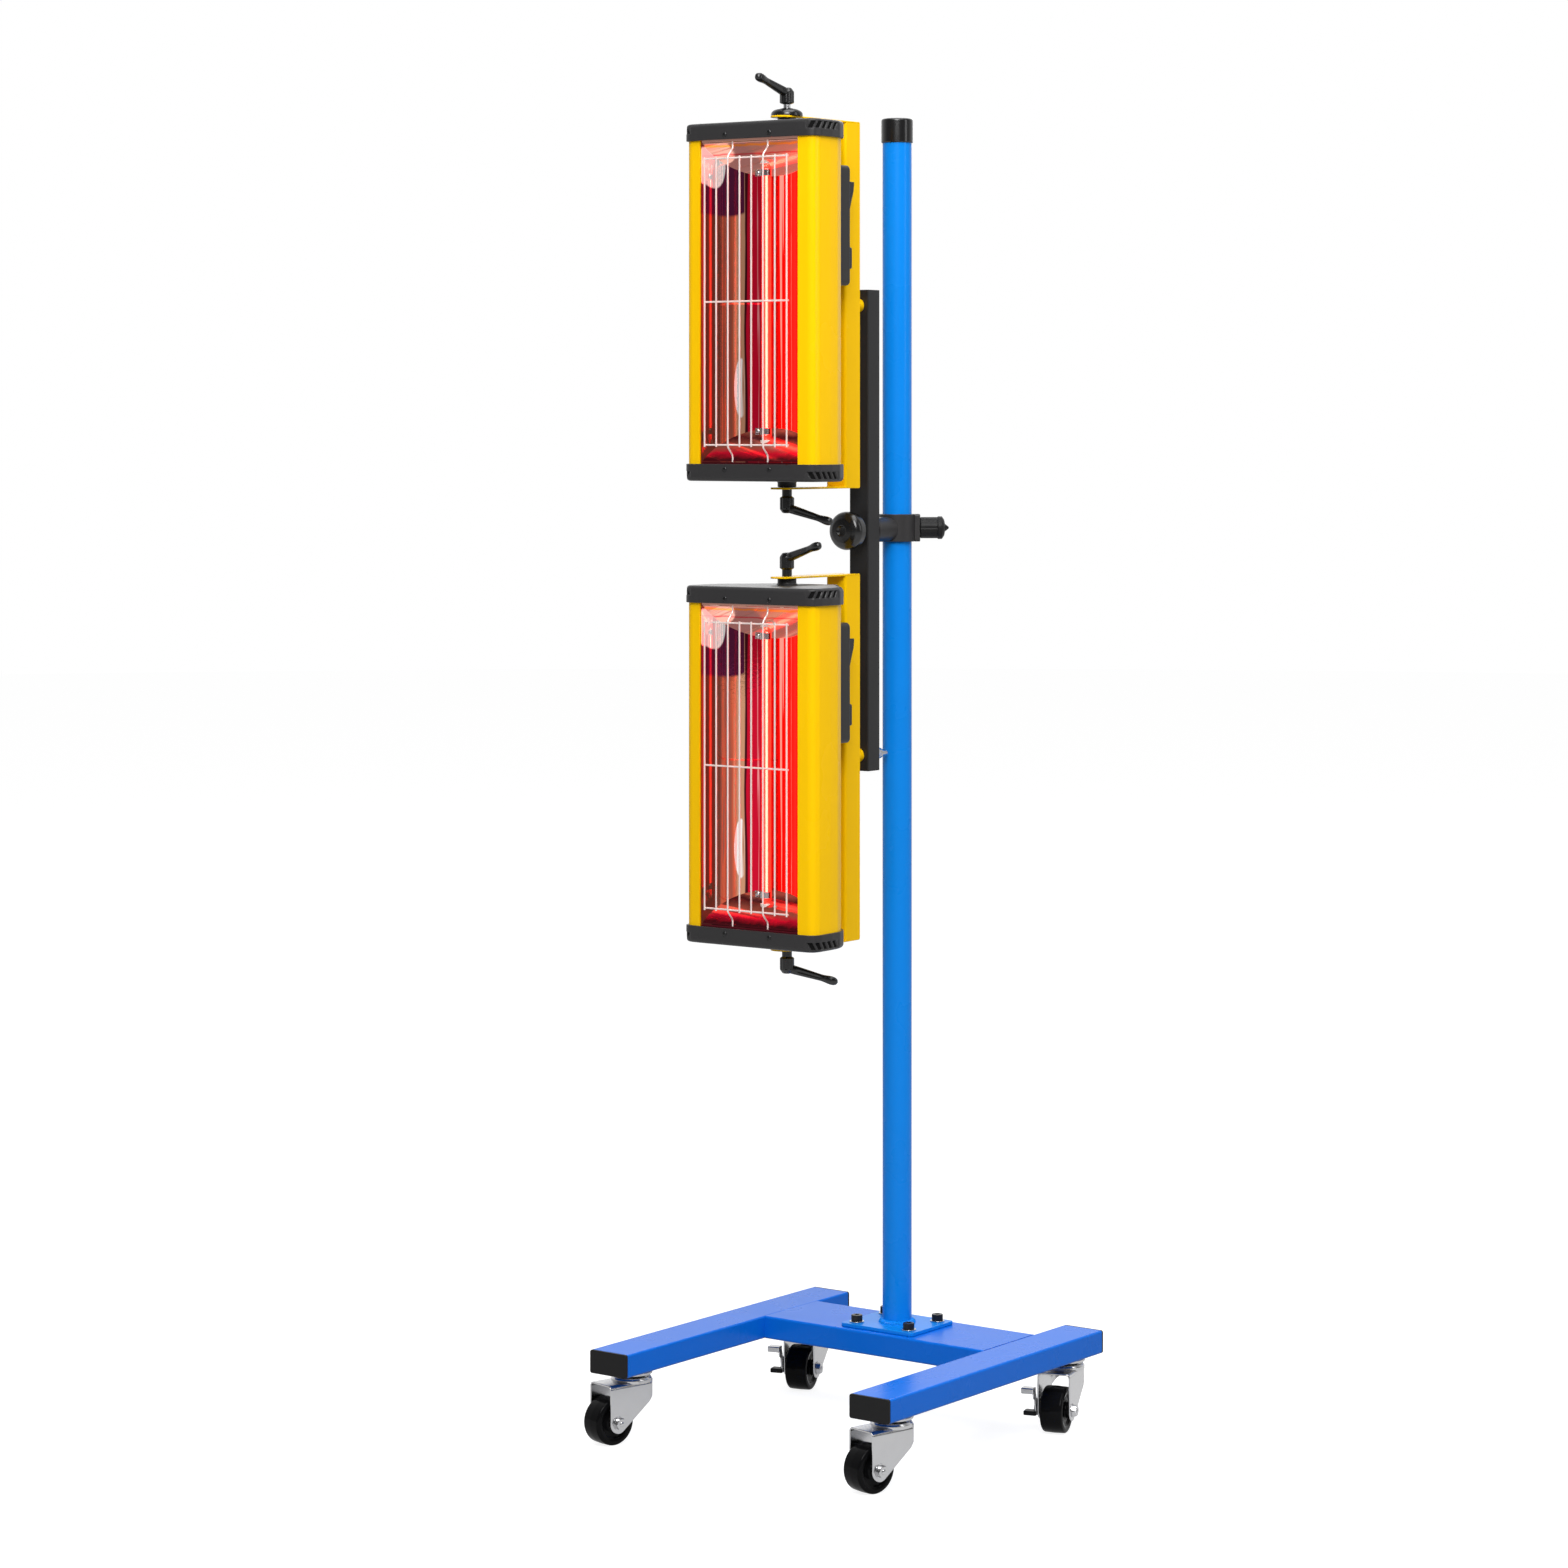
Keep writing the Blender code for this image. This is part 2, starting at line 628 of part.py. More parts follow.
def brake_lever():
    """Stamped brake lever about the axle: an upright plate with two foot tabs bent outwards."""
    back = BRAKE_EYE_RADIUS
    outline = [
        (-back, -back / 2), (0, -back), (BRAKE_REACH / 2, -back), (BRAKE_REACH / 2 + back / 2, 0),
        (BRAKE_REACH, BRAKE_RISE / 2), (BRAKE_REACH + back / 2, BRAKE_RISE),
        (BRAKE_REACH - back / 2, BRAKE_RISE), (0, back * 1.5), (-back, back / 2),
    ]
    body = plate((outline,), BRAKE_SHEET, FACING_FRONT)
    out = -BRAKE_SHEET / 2 - BRAKE_TAB_LENGTH
    upper = box((BRAKE_REACH - BRAKE_TAB_WIDTH / 2, out, BRAKE_RISE - BRAKE_SHEET),
                (BRAKE_REACH + BRAKE_TAB_WIDTH / 2, BRAKE_SHEET / 4, BRAKE_RISE - GAP))
    lower_middle = BRAKE_REACH / 2
    lower = box((lower_middle - BRAKE_TAB_WIDTH / 2, out, -back + GAP),
                (lower_middle + BRAKE_TAB_WIDTH / 2, BRAKE_SHEET / 4, -back + GAP + BRAKE_SHEET))
    joined(body, upper, lower)
    hole = bore(AXLE_RADIUS)
    clear = rod(AXLE_NUT_RADIUS + GAP, (0, out - OVERRUN, 0), (0, -BRAKE_SHEET / 2, 0))
    return cut(body, rod(hole, (0, -BRAKE_SHEET, 0), (0, BRAKE_SHEET, 0)), clear)


LINER_INNER = bore(POLE_RADIUS, ROUND_SIDES)
LINER_OUTER = LINER_INNER + LINER_WALL
COLLAR_INNER = bore(LINER_OUTER, ROUND_SIDES)
COLLAR_OUTER = COLLAR_INNER + COLLAR_WALL
BAR_REAR = BAR_FRONT - BAR_DEPTH
BAR_DROP = BAR_CENTRE_HEIGHT - CLAMP_HEIGHT


def ring(inner, outer, height):
    """Plain ring round Z, about its middle."""
    top = height / 2
    return turned([(inner, top), (outer, top), (outer, -top), (inner, -top)], closed=True)


def collar():
    """Clamp ring with a lug for the hand knob and a boss for the bar's spindle."""
    body = ring(COLLAR_INNER, COLLAR_OUTER, COLLAR_HEIGHT)
    half = LUG_WIDTH / 2
    top = COLLAR_HEIGHT / 2
    lug = box((COLLAR_INNER, -half, -top), (LUG_REACH, half, top))
    lug.data.transform(Matrix.Rotation(HAND_KNOB_TURN, 4, "Z"))
    boss = rod(BAR_BOSS_RADIUS, (0, -COLLAR_INNER, BAR_DROP), (0, -BAR_REAR + GAP, BAR_DROP), MEDIUM_SIDES)
    joined(body, lug, boss)
    seat_end = -BAR_REAR + GAP + SPINDLE_SEAT + GAP
    seat = rod(bore(SPINDLE_RADIUS), (0, -BAR_FRONT, BAR_DROP), (0, seat_end, BAR_DROP))
    along = Vector((cos(HAND_KNOB_TURN), sin(HAND_KNOB_TURN), 0))
    socket_end = LUG_REACH - HAND_KNOB_STUD - GAP
    socket = rod(bore(HAND_KNOB_STUD_RADIUS), along * socket_end, along * (LUG_REACH + OVERRUN))
    core = rod(COLLAR_INNER, (0, 0, -COLLAR_HEIGHT), (0, 0, COLLAR_HEIGHT), ROUND_SIDES)
    return cut(body, seat, socket, core)


def hand_knob():
    """Hand knob along X with its stud in the lug, about the lug's outer face."""
    start = GAP
    rim = start + HAND_KNOB_GRIP
    end = rim + HAND_KNOB_RIM
    tip = end + HAND_KNOB_TIP
    profile = [
        (0, tip), (HAND_KNOB_TIP / 4, tip - HAND_KNOB_TIP / 4), (HAND_KNOB_RADIUS / 2, end),
        (HAND_KNOB_RIM_RADIUS, end - HAND_KNOB_RIM / 4), (HAND_KNOB_RIM_RADIUS, rim),
        (HAND_KNOB_RADIUS, rim), (HAND_KNOB_RADIUS, start), (HAND_KNOB_STUD_RADIUS, start),
        (HAND_KNOB_STUD_RADIUS, -HAND_KNOB_STUD), (0, -HAND_KNOB_STUD),
    ]
    return turned(profile, MEDIUM_SIDES, ALONG_X)


KNOB_BACK = BAR_FRONT + GAP
SPINDLE_END = KNOB_BACK + BAR_KNOB_DEPTH / 2


def spindle():
    """Threaded spindle from the clamp's boss through the bar into the round knob."""
    return rod(SPINDLE_RADIUS, (0, -BAR_REAR + GAP + SPINDLE_SEAT, 0), (0, -SPINDLE_END, 0))


def bar():
    """Rectangular tube with holes for the spindle and for both brackets' bolts."""
    outer = rounded(BAR_WIDTH, BAR_DEPTH, BAR_WALL / 2, 1)
    inner = rounded(BAR_WIDTH - 2 * BAR_WALL, BAR_DEPTH - 2 * BAR_WALL, BAR_WALL / 4, 1)
    middle = -BAR_FRONT + BAR_DEPTH / 2
    tube = plate((outer, inner), BAR_LENGTH, shift(0, middle, 0))
    front = -BAR_FRONT - OVERRUN
    rear = -BAR_REAR + OVERRUN
    holes = [rod(bore(SPINDLE_RADIUS), (0, front, 0), (0, rear, 0))]
    for z in (HEAD_SPACING / 2, -HEAD_SPACING / 2):
        holes.append(rod(bore(BRACKET_BOLT_RADIUS), (0, front, z), (0, rear, z)))
    return cut(tube, *holes)


def bar_knob():
    """Round domed knob along -Y on the spindle, about the bar's front face."""
    front = BAR_KNOB_DEPTH
    middle = BAR_KNOB_RIM
    recess = front - BAR_KNOB_RECESS
    hole = bore(SPINDLE_RADIUS, MEDIUM_SIDES)
    depth = SPINDLE_END - BAR_FRONT + GAP
    profile = [
        (0, recess), (BAR_KNOB_RECESS_RADIUS, recess), (BAR_KNOB_RECESS_RADIUS + BAR_KNOB_RECESS, front),
        (BAR_KNOB_RADIUS * 0.62, front - BAR_KNOB_RIM / 8), (BAR_KNOB_RADIUS * 0.9, front - BAR_KNOB_RIM / 3),
        (BAR_KNOB_RADIUS, front - BAR_KNOB_RIM * 0.75), (BAR_KNOB_RADIUS * 0.94, middle),
        (BAR_KNOB_HUB_RADIUS, middle - BAR_KNOB_RIM / 4), (BAR_KNOB_HUB_RADIUS, GAP),
        (hole, GAP), (hole, depth), (0, depth),
    ]
    return turned(profile, MEDIUM_SIDES, Matrix.Rotation(pi / 2, 4, "X"))


PIVOT_TO_BAR = PIVOT_FORWARD - BAR_FRONT


def bracket():
    """Bracket about the pivot's middle: web, two arms, side flanges and the spacer sleeve."""
    top = BRACKET_OUTER_HALF
    under = top - BRACKET_SHEET
    half = BRACKET_WIDTH / 2
    front = BRACKET_WEB_REACH
    rear = front + BRACKET_FLANGE_DEPTH
    middle = front + BRACKET_SHEET / 2
    tuck = under + BRACKET_SHEET / 2
    body = box((-half, front, -tuck), (half, front + BRACKET_SHEET, tuck))
    lean = half - BRACKET_SHEET
    arms = [box((-half, -BRACKET_TIP_REACH, z), (half, rear, z + BRACKET_SHEET)) for z in (-top, under)]
    flanges = [box((x, middle, -tuck), (x + BRACKET_SHEET, rear, tuck)) for x in (-half, lean)]
    sleeve = rod(SLEEVE_RADIUS, (0, middle, 0), (0, PIVOT_TO_BAR - GAP, 0))
    joined(body, *arms, *flanges, sleeve)
    bolt_hole = rod(bore(BRACKET_BOLT_RADIUS), (0, front - OVERRUN, 0), (0, PIVOT_TO_BAR + OVERRUN, 0))
    pivots = [rod(bore(LEVER_STUD_RADIUS), (0, 0, side * (under - OVERRUN)), (0, 0, side * (top + OVERRUN)))
              for side in (-1, 1)]
    return cut(body, bolt_hole, *pivots)


def bracket_bolt(tail):
    """Bolt through a bracket's web, its sleeve and the bar, with a lock nut where it has a tail."""
    front = BRACKET_WEB_REACH - GAP
    rear = PIVOT_TO_BAR + BAR_DEPTH
    end = rear + tail + LOCK_NUT_LENGTH if tail else rear - GAP
    body = rod(BRACKET_BOLT_RADIUS, (0, front - BRACKET_BOLT_HEAD / 2, 0), (0, end, 0))
    head = rod(BRACKET_BOLT_HEAD_RADIUS, (0, front, 0), (0, front - BRACKET_BOLT_HEAD, 0),
               end_radius=BRACKET_BOLT_RADIUS)
    joined(body, head)
    if tail:
        joined(body, rod(LOCK_NUT_RADIUS, (0, rear + GAP, 0), (0, rear + GAP + LOCK_NUT_LENGTH, 0), 6))
    return body


def body_half():
    """Outer outline of half a lamp body, from the lip to the back, about the pivot's axis."""
    depth = BODY_FRONT + BODY_BACK
    return [(x * BODY_HALF_WIDTH, y * depth - BODY_FRONT) for x, y in BODY_OUTLINE_SHARES]


def mirrored(half):
    """A half outline followed by its mirror image, back to the start's side."""
    return half + [(-x, y) for x, y in reversed(half)]


def housing():
    """Lamp body: a folded sheet round the sides and back, open at the front."""
    outer = mirrored(body_half())
    inner = moved_out(outer, -BODY_SHEET, closed=False)
    return plate((outer + inner[::-1],), BODY_LENGTH + 2 * BODY_TUCK)


STUD_REACH = BRACKET_SHEET + GAP + BOSS_HEIGHT + CAP_LID


def head_cap():
    """End cap over a lamp body's end, with the pivot's boss on top."""
    outline = mirrored(body_half())
    outer = moved_out(outline, GAP + CAP_WALL)
    inner = moved_out(outline, GAP)
    body = plate((outer,), CAP_HEIGHT, shift(0, 0, CAP_BOTTOM + CAP_HEIGHT / 2))
    shape = bmesh.new()
    shape.from_mesh(body.data)
    level = CAP_TOP - GAP
    upper = [edge for edge in shape.edges if all(v.co.z > level for v in edge.verts)]
    rim = [edge for edge in upper if edge.calc_face_angle(0) > radians(45)]
    bmesh.ops.bevel(shape, geom=rim, offset=CAP_EDGE, segments=2, profile=0.5, affect="EDGES")
    shape.to_mesh(body.data)
    shape.free()
    hollow_height = CAP_HEIGHT - CAP_LID
    hollow = plate((inner,), hollow_height + OVERRUN, shift(0, 0, CAP_BOTTOM + (hollow_height - OVERRUN) / 2))
    cut(body, hollow)
    joined(body, rod(BOSS_RADIUS, (0, 0, CAP_TOP - CAP_LID / 2), (0, 0, BOSS_TOP), MEDIUM_SIDES))
    return cut(body, rod(bore(LEVER_STUD_RADIUS), (0, 0, CAP_BOTTOM), (0, 0, BRACKET_OUTER_HALF)))


def reflector():
    """Polished trough behind the lamp with a plate across each end."""
    start = BODY_FRONT - BODY_SHEET - GAP
    half = [(x * REFLECTOR_HALF_WIDTH, y * REFLECTOR_DEPTH - start) for x, y in REFLECTOR_OUTLINE_SHARES]
    inner = mirrored(half)
    outer = moved_out(inner, REFLECTOR_SHEET, closed=False)
    length = BODY_LENGTH - 2 * GAP
    body = plate((outer + inner[::-1],), length)
    front = half[0][1] + REFLECTOR_PLATE_SETBACK
    end_outline = [(x, max(y, front)) for x, y in moved_out(inner, REFLECTOR_SHEET / 2, closed=False)]
    level = length / 2 - REFLECTOR_SHEET
    for side in (-1, 1):
        joined(body, plate((end_outline,), REFLECTOR_SHEET, shift(0, 0, side * level)))
    return body


def lamp():
    """Halogen tube with ceramic ends, upright between the reflector's end plates."""
    end = BODY_LENGTH / 2 - GAP - REFLECTOR_SHEET * 1.5 - GAP
    holder = end - LAMP_PIN_LENGTH
    glass = holder - LAMP_END_LENGTH
    upper = [
        (0, end), (LAMP_PIN_RADIUS, end), (LAMP_PIN_RADIUS, holder), (LAMP_END_RADIUS, holder),
        (LAMP_END_RADIUS, glass), (LAMP_RADIUS, glass),
    ]
    return turned(upper + [(radius, -height) for radius, height in reversed(upper)], SMALL_SIDES)


def wire_guard():
    """Welded wire grille in front of the opening; two wires hook back into the caps."""
    first = -(WIRE_COUNT - 1) / 2 * WIRE_SPACING
    hooked = (2, WIRE_COUNT - 3)
    cross_half = -first + WIRE_RADIUS
    cross_y = -WIRE_FORWARD + CROSS_WIRE_BACK
    body = rod(WIRE_RADIUS, (-cross_half, cross_y, 0), (cross_half, cross_y, 0), 6)
    end = WIRE_HALF_LENGTH
    wires = []
    for number in range(WIRE_COUNT):
        x = first + number * WIRE_SPACING
        wires.append(rod(WIRE_RADIUS, (x, -WIRE_FORWARD, -end), (x, -WIRE_FORWARD, end), 6))
    for side in (-1, 1):
        level = side * (end - 2 * WIRE_RADIUS)
        wires.append(rod(WIRE_RADIUS, (-cross_half, cross_y, level), (cross_half, cross_y, level), 6))
    tip = CAP_TOP - CAP_LID - GAP
    for number in hooked:
        x = first + number * WIRE_SPACING
        for side in (-1, 1):
            bend = (x, -WIRE_FORWARD + HOOK_BACK, side * (end + HOOK_DROP))
            root = (x, -WIRE_FORWARD, side * (end - WIRE_RADIUS))
            wires.append(rod(WIRE_RADIUS * 0.98, root, bend, 6))
            start = (x, bend[1], bend[2] - side * WIRE_RADIUS)
            wires.append(rod(WIRE_RADIUS, start, (x, bend[1], side * tip), 6))
    return joined(body, *wires)


BOX_BACK = BODY_BACK + GAP + SWITCH_BOX_DEPTH


def switch_box():
    """Box on a head's back with the cable gland block and the rocker's pocket in its rear face."""
    width = 2 * SWITCH_BOX_HALF_WIDTH
    height = SWITCH_BOX_TOP - SWITCH_BOX_BOTTOM
    centre = (SWITCH_BOX_TOP + SWITCH_BOX_BOTTOM) / 2
    middle = BOX_BACK - SWITCH_BOX_DEPTH / 2
    outline = rounded(width, height, SWITCH_BOX_CORNER)
    body = plate((outline,), SWITCH_BOX_DEPTH, shift(0, middle, centre) @ FACING_FRONT)
    right = SWITCH_BOX_HALF_WIDTH - ROCKER_INSET
    left = right - ROCKER_WIDTH
    half = GLAND_HEIGHT / 2
    gland = box((left, BOX_BACK - OVERRUN, GLAND_CENTRE - half),
                (right, BOX_BACK + GLAND_DEPTH, GLAND_CENTRE + half))
    joined(body, gland)
    room = ROCKER_HEIGHT / 2 + ROCKER_SWING_ROOM
    pocket = box((left - GAP, BOX_BACK - ROCKER_POCKET, ROCKER_CENTRE - room),
                 (right + GAP, BOX_BACK + OVERRUN, ROCKER_CENTRE + room))
    return cut(body, pocket)


def rocker():
    """Rocker switch with its upper end out, about the pivot in the middle of its window."""
    end = ROCKER_HEIGHT / 2 - GAP
    outline = [
        (ROCKER_THICK_END, end), (ROCKER_THIN_END, -end), (-ROCKER_BELLY, -end + ROCKER_THIN_END),
        (-ROCKER_BELLY, 0), (0, end),
    ]
    return plate((outline,), ROCKER_WIDTH, FACING_SIDE)


def lever(lift):
    """Clamping lever about the pivot; z = 0 is the face that its neck or stud stands on."""
    base = GAP + lift
    neck = base + LEVER_NECK_HEIGHT
    top = base + LEVER_HUB_TOP
    stud_end = -STUD_REACH
    profile = [
        (0, top), (LEVER_HUB_RADIUS - LEVER_HUB_EDGE, top), (LEVER_HUB_RADIUS, top - LEVER_HUB_EDGE),
        (LEVER_HUB_RADIUS, neck), (LEVER_NECK_RADIUS, neck - LEVER_HUB_EDGE / 2),
        (LEVER_NECK_RADIUS, base), (LEVER_STUD_RADIUS, base),
        (LEVER_STUD_RADIUS, stud_end), (0, stud_end),
    ]
    body = turned(profile, SMALL_SIDES)
    arm_profile = [(0, 0)]
    arm_profile += [(wide * LEVER_ARM_RADIUS, along * LEVER_ARM_LENGTH) for along, wide in LEVER_ARM_SHARES]
    arm_profile.append((0, LEVER_ARM_LENGTH))
    arm_profile.reverse()
    tilt = shift(0, 0, base + LEVER_ARM_ROOT) @ Matrix.Rotation(pi / 2 - LEVER_SLOPE, 4, "Y")
    arm = turned(arm_profile, 8, tilt)
    return joined(body, arm)


def pivot_disc():
    """Domed disc under the raised lever of the upper head."""
    hole = bore(LEVER_STUD_RADIUS, MEDIUM_SIDES)
    profile = [
        (hole, DISC_HEIGHT), (DISC_TOP_RADIUS, DISC_HEIGHT), (DISC_RADIUS * 0.8, DISC_HEIGHT / 2),
        (DISC_RADIUS, DISC_HEIGHT / 6), (DISC_RADIUS, GAP), (hole, GAP),
    ]
    return turned(profile, MEDIUM_SIDES, closed=True)


def build_base(stand):
    """Legs, rail, plate, pole and their caps and screws."""
    front = -LEG_FRONT_REACH
    back = front + LEG_LENGTH
    middle = (front + back) / 2
    height = CASTOR_HEIGHT + TUBE_HEIGHT / 2
    for side, word in ((-1, "left"), (1, "right")):
        x = side * LEG_SPREAD / 2
        place(leg(), word + "_leg", PAINT_BLUE, stand, (x, middle, height))
        place(end_cap(-1), word + "_front_end_cap", PLASTIC_BLACK, stand, (x, front, height))
        place(end_cap(1), word + "_rear_end_cap", PLASTIC_BLACK, stand, (x, back, height))
    place(rail(), "cross_rail", PAINT_BLUE, stand, (0, RAIL_SETBACK, height))
    place(base_plate(), "base_plate", PAINT_BLUE, stand, (0, 0, PLATE_BOTTOM))
    for number, (x, y) in enumerate(screw_places()):
        place(base_screw(), "base_screw_%d" % (number + 1), PLASTIC_BLACK, stand, (x, y, PLATE_TOP))
    place(pole(), "pole", PAINT_BLUE, stand)
    place(pole_cap(), "pole_cap", PLASTIC_BLACK, stand)


def build_castors(stand):
    """Four castors under the legs' ends; the rear pair has brake levers."""
    front = -LEG_FRONT_REACH + FRONT_CASTOR_INSET
    back = -LEG_FRONT_REACH + LEG_LENGTH - REAR_CASTOR_INSET
    pairs = (("front", front, FRONT_CASTOR_TURN, False), ("rear", back, REAR_CASTOR_TURN, True))
    for end, y, turn, braked in pairs:
        for side, word in ((-1, "left"), (1, "right")):
            name = word + "_" + end
            centre = (side * LEG_SPREAD / 2, y, CASTOR_HEIGHT)
            place(castor_mount(), name + "_castor_mount", ZINC, stand, centre)
            axis = empty(name + "_swivel", stand, centre, turn)
            place(fork(BRAKE_ROOM if braked else 0), name + "_fork", ZINC, axis)
            place(wheel(), name + "_wheel", TYRE, axis, (CASTOR_TRAIL, 0, -AXLE_DROP))
            if braked:
                seat = -FORK_WIDTH / 2 - GAP - BRAKE_SHEET / 2
                place(brake_lever(), name + "_brake_lever", ZINC, axis, (CASTOR_TRAIL, seat, -AXLE_DROP))


def build_clamp(stand):
    """Liner, collar, both knobs, spindle and bar."""
    clamp = (0, 0, CLAMP_HEIGHT)
    liner = ring(LINER_INNER, LINER_OUTER, LINER_HEIGHT)
    place(liner, "clamp_liner", PLASTIC_BLACK, stand, clamp)
    place(collar(), "clamp_collar", PLASTIC_CHARCOAL, stand, clamp)
    knob_place = (LUG_REACH * cos(HAND_KNOB_TURN), LUG_REACH * sin(HAND_KNOB_TURN), CLAMP_HEIGHT)
    place(hand_knob(), "clamp_knob", PLASTIC_BLACK, stand, knob_place, HAND_KNOB_TURN)
    bar_axis = empty("bar_pivot", stand, (0, 0, BAR_CENTRE_HEIGHT))
    place(spindle(), "bar_spindle", ZINC, bar_axis)
    place(bar(), "mounting_bar", PLASTIC_CHARCOAL, bar_axis)
    place(bar_knob(), "bar_knob", PLASTIC_BLACK, bar_axis, (0, -BAR_FRONT, 0))
    return bar_axis


def build_head(bar_axis, word, side, raised, turns):
    """One lamp head in its bracket, with its clamping levers."""
    tilt = empty(word + "_tilt", bar_axis, (0, -PIVOT_FORWARD, side * HEAD_SPACING / 2))
    place(bracket(), word + "_bracket", PAINT_YELLOW, tilt)
    place(bracket_bolt(0 if side > 0 else BOLT_TAIL), word + "_bracket_bolt", ZINC, tilt)
    place(housing(), word + "_housing", PAINT_YELLOW, tilt)
    place(head_cap(), word + "_top_cap", PLASTIC_CHARCOAL, tilt)
    bottom = head_cap()
    bottom.data.transform(Matrix.Diagonal((1, 1, -1, 1)))
    bottom.data.flip_normals()
    place(bottom, word + "_bottom_cap", PLASTIC_CHARCOAL, tilt)
    place(reflector(), word + "_reflector", POLISHED, tilt)
    place(lamp(), word + "_lamp", (GLOW, 0.1, 0.0), tilt, (0, -LAMP_FORWARD, 0))
    place(wire_guard(), word + "_wire_guard", ZINC, tilt)
    place(switch_box(), word + "_switch_box", PLASTIC_CHARCOAL, tilt)
    rocker_x = SWITCH_BOX_HALF_WIDTH - ROCKER_INSET - ROCKER_WIDTH / 2
    place(rocker(), word + "_rocker", PLASTIC_BLACK, tilt, (rocker_x, BOX_BACK, ROCKER_CENTRE))
    lift = DISC_HEIGHT + LEVER_LIFT if raised else 0
    if raised:
        place(pivot_disc(), word + "_pivot_disc", PLASTIC_BLACK, tilt, (0, 0, BRACKET_OUTER_HALF))
    place(lever(lift), word + "_top_lever", PLASTIC_BLACK, tilt, (0, 0, BRACKET_OUTER_HALF), turns[0])
    lower = lever(0)
    lower.data.transform(Matrix.Diagonal((1, 1, -1, 1)))
    lower.data.flip_normals()
    place(lower, word + "_bottom_lever", PLASTIC_BLACK, tilt, (0, 0, -BRACKET_OUTER_HALF), turns[1])


stand = empty("stand", None, (STAND_X, STAND_Y, 0))
build_base(stand)
build_castors(stand)
bar_axis = build_clamp(stand)
build_head(bar_axis, "upper", 1, True, (radians(-90), radians(10)))
build_head(bar_axis, "lower", -1, False, (radians(-13), radians(36.5)))
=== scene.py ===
"""Infrared paint curing lamp on a rolling stand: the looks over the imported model.

Lengths are in metres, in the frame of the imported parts: +Z is up and the lamps
face -Y. The sections follow the lamp as it is put together, from the base up.
"""

import bmesh
import bpy
import numpy as np
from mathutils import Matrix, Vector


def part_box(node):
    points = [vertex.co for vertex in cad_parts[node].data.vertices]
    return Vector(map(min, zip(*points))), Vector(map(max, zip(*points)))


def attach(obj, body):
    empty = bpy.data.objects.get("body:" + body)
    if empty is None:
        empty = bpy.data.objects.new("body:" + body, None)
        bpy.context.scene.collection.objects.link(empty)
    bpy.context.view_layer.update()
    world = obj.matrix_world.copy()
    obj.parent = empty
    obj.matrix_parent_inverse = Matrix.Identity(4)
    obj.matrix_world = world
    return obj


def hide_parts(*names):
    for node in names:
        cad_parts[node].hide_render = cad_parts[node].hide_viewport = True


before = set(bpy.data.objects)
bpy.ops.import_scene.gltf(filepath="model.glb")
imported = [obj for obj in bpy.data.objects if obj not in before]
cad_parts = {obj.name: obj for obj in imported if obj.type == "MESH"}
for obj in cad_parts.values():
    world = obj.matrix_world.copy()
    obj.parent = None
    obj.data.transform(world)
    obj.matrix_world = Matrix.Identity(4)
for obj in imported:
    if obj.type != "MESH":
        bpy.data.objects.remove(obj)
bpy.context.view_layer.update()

# Camera: a long lens 1.1 m above the floor and 4.6 m from the pole, looking level,
# 36.5 degrees round from the way the lamps face. The shift brings the castors into
# the picture and keeps upright lines upright.
LENS = 95.85
CAMERA_TURN = np.radians(36.5)
CAMERA_FROM_POLE = (2.620, -3.749, 1.087)
CAMERA_SHIFT = -0.2296

pole_low, pole_high = np.array(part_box("pole"))
pole_axis = (pole_low + pole_high) / 2 * (1, 1, 0)
lens = bpy.data.cameras.new("camera")
lens.lens = LENS
lens.shift_y = CAMERA_SHIFT
camera = bpy.data.objects.new("camera", lens)
camera.location = pole_axis + CAMERA_FROM_POLE
camera.rotation_euler = (np.radians(90), 0, CAMERA_TURN)
bpy.context.scene.collection.objects.link(camera)
bpy.context.scene.camera = camera

# Pole: drawn steel tube in bright blue powder coat, cut square. It stands on the
# base plate and is welded to it all round.
POLE_WALL = 0.0015
POLE_EDGE = 0.0004
BLUE = (0.003, 0.228, 0.770)
RIGHT, BACK, UP = np.eye(3)
SHARPEST_SMOOTH = np.radians(38)
DOUBLES = 1e-6


def soften(corners, radius, closed=True, steps=4):
    """Corners turned into arcs. With an arc's ends A and B on the two edges, radius x tan(half the turn)
    from the corner C, a point of it is ((1-t)^2 A + 2w t(1-t) C + t^2 B) / ((1-t)^2 + 2w t(1-t) + t^2),
    where w is the cosine of half the turn."""
    corners = np.asarray(corners, float)
    back = np.roll(corners, 1, 0) - corners
    on = np.roll(corners, -1, 0) - corners
    back_length, on_length = np.linalg.norm(back, axis=1), np.linalg.norm(on, axis=1)
    between = np.arccos(np.clip((back * on).sum(1) / (back_length * on_length), -1, 1))
    half = (np.pi - between) / 2
    cut = np.minimum(radius * np.tan(half), 0.49 * np.minimum(back_length, on_length))
    if not closed:
        cut[[0, -1]] = 0
    start = corners + back * (cut / back_length)[:, None]
    end = corners + on * (cut / on_length)[:, None]
    t = np.linspace(0, 1, steps + 1)[None, :, None]
    weights = (1 - t) ** 2, 2 * np.cos(half)[:, None, None] * t * (1 - t), t ** 2
    ends = (start[:, None], corners[:, None], end[:, None])
    arcs = sum(weight * point for weight, point in zip(weights, ends)) / sum(weights)
    points = arcs.reshape(-1, corners.shape[1])
    step = np.linalg.norm(points - np.roll(points, 1, 0), axis=1)
    if not closed:
        step[0] = 1
    return points[step > DOUBLES / 10]


def ring_section(inner, outer, low, high, edge):
    """Section of a round tube's wall with softened edges, as points (radius, height)."""
    return soften(((inner, low), (outer, low), (outer, high), (inner, high)), edge)


def full_turn(count):
    """Even angles over one full turn."""
    return 2 * np.pi * np.arange(count) / count


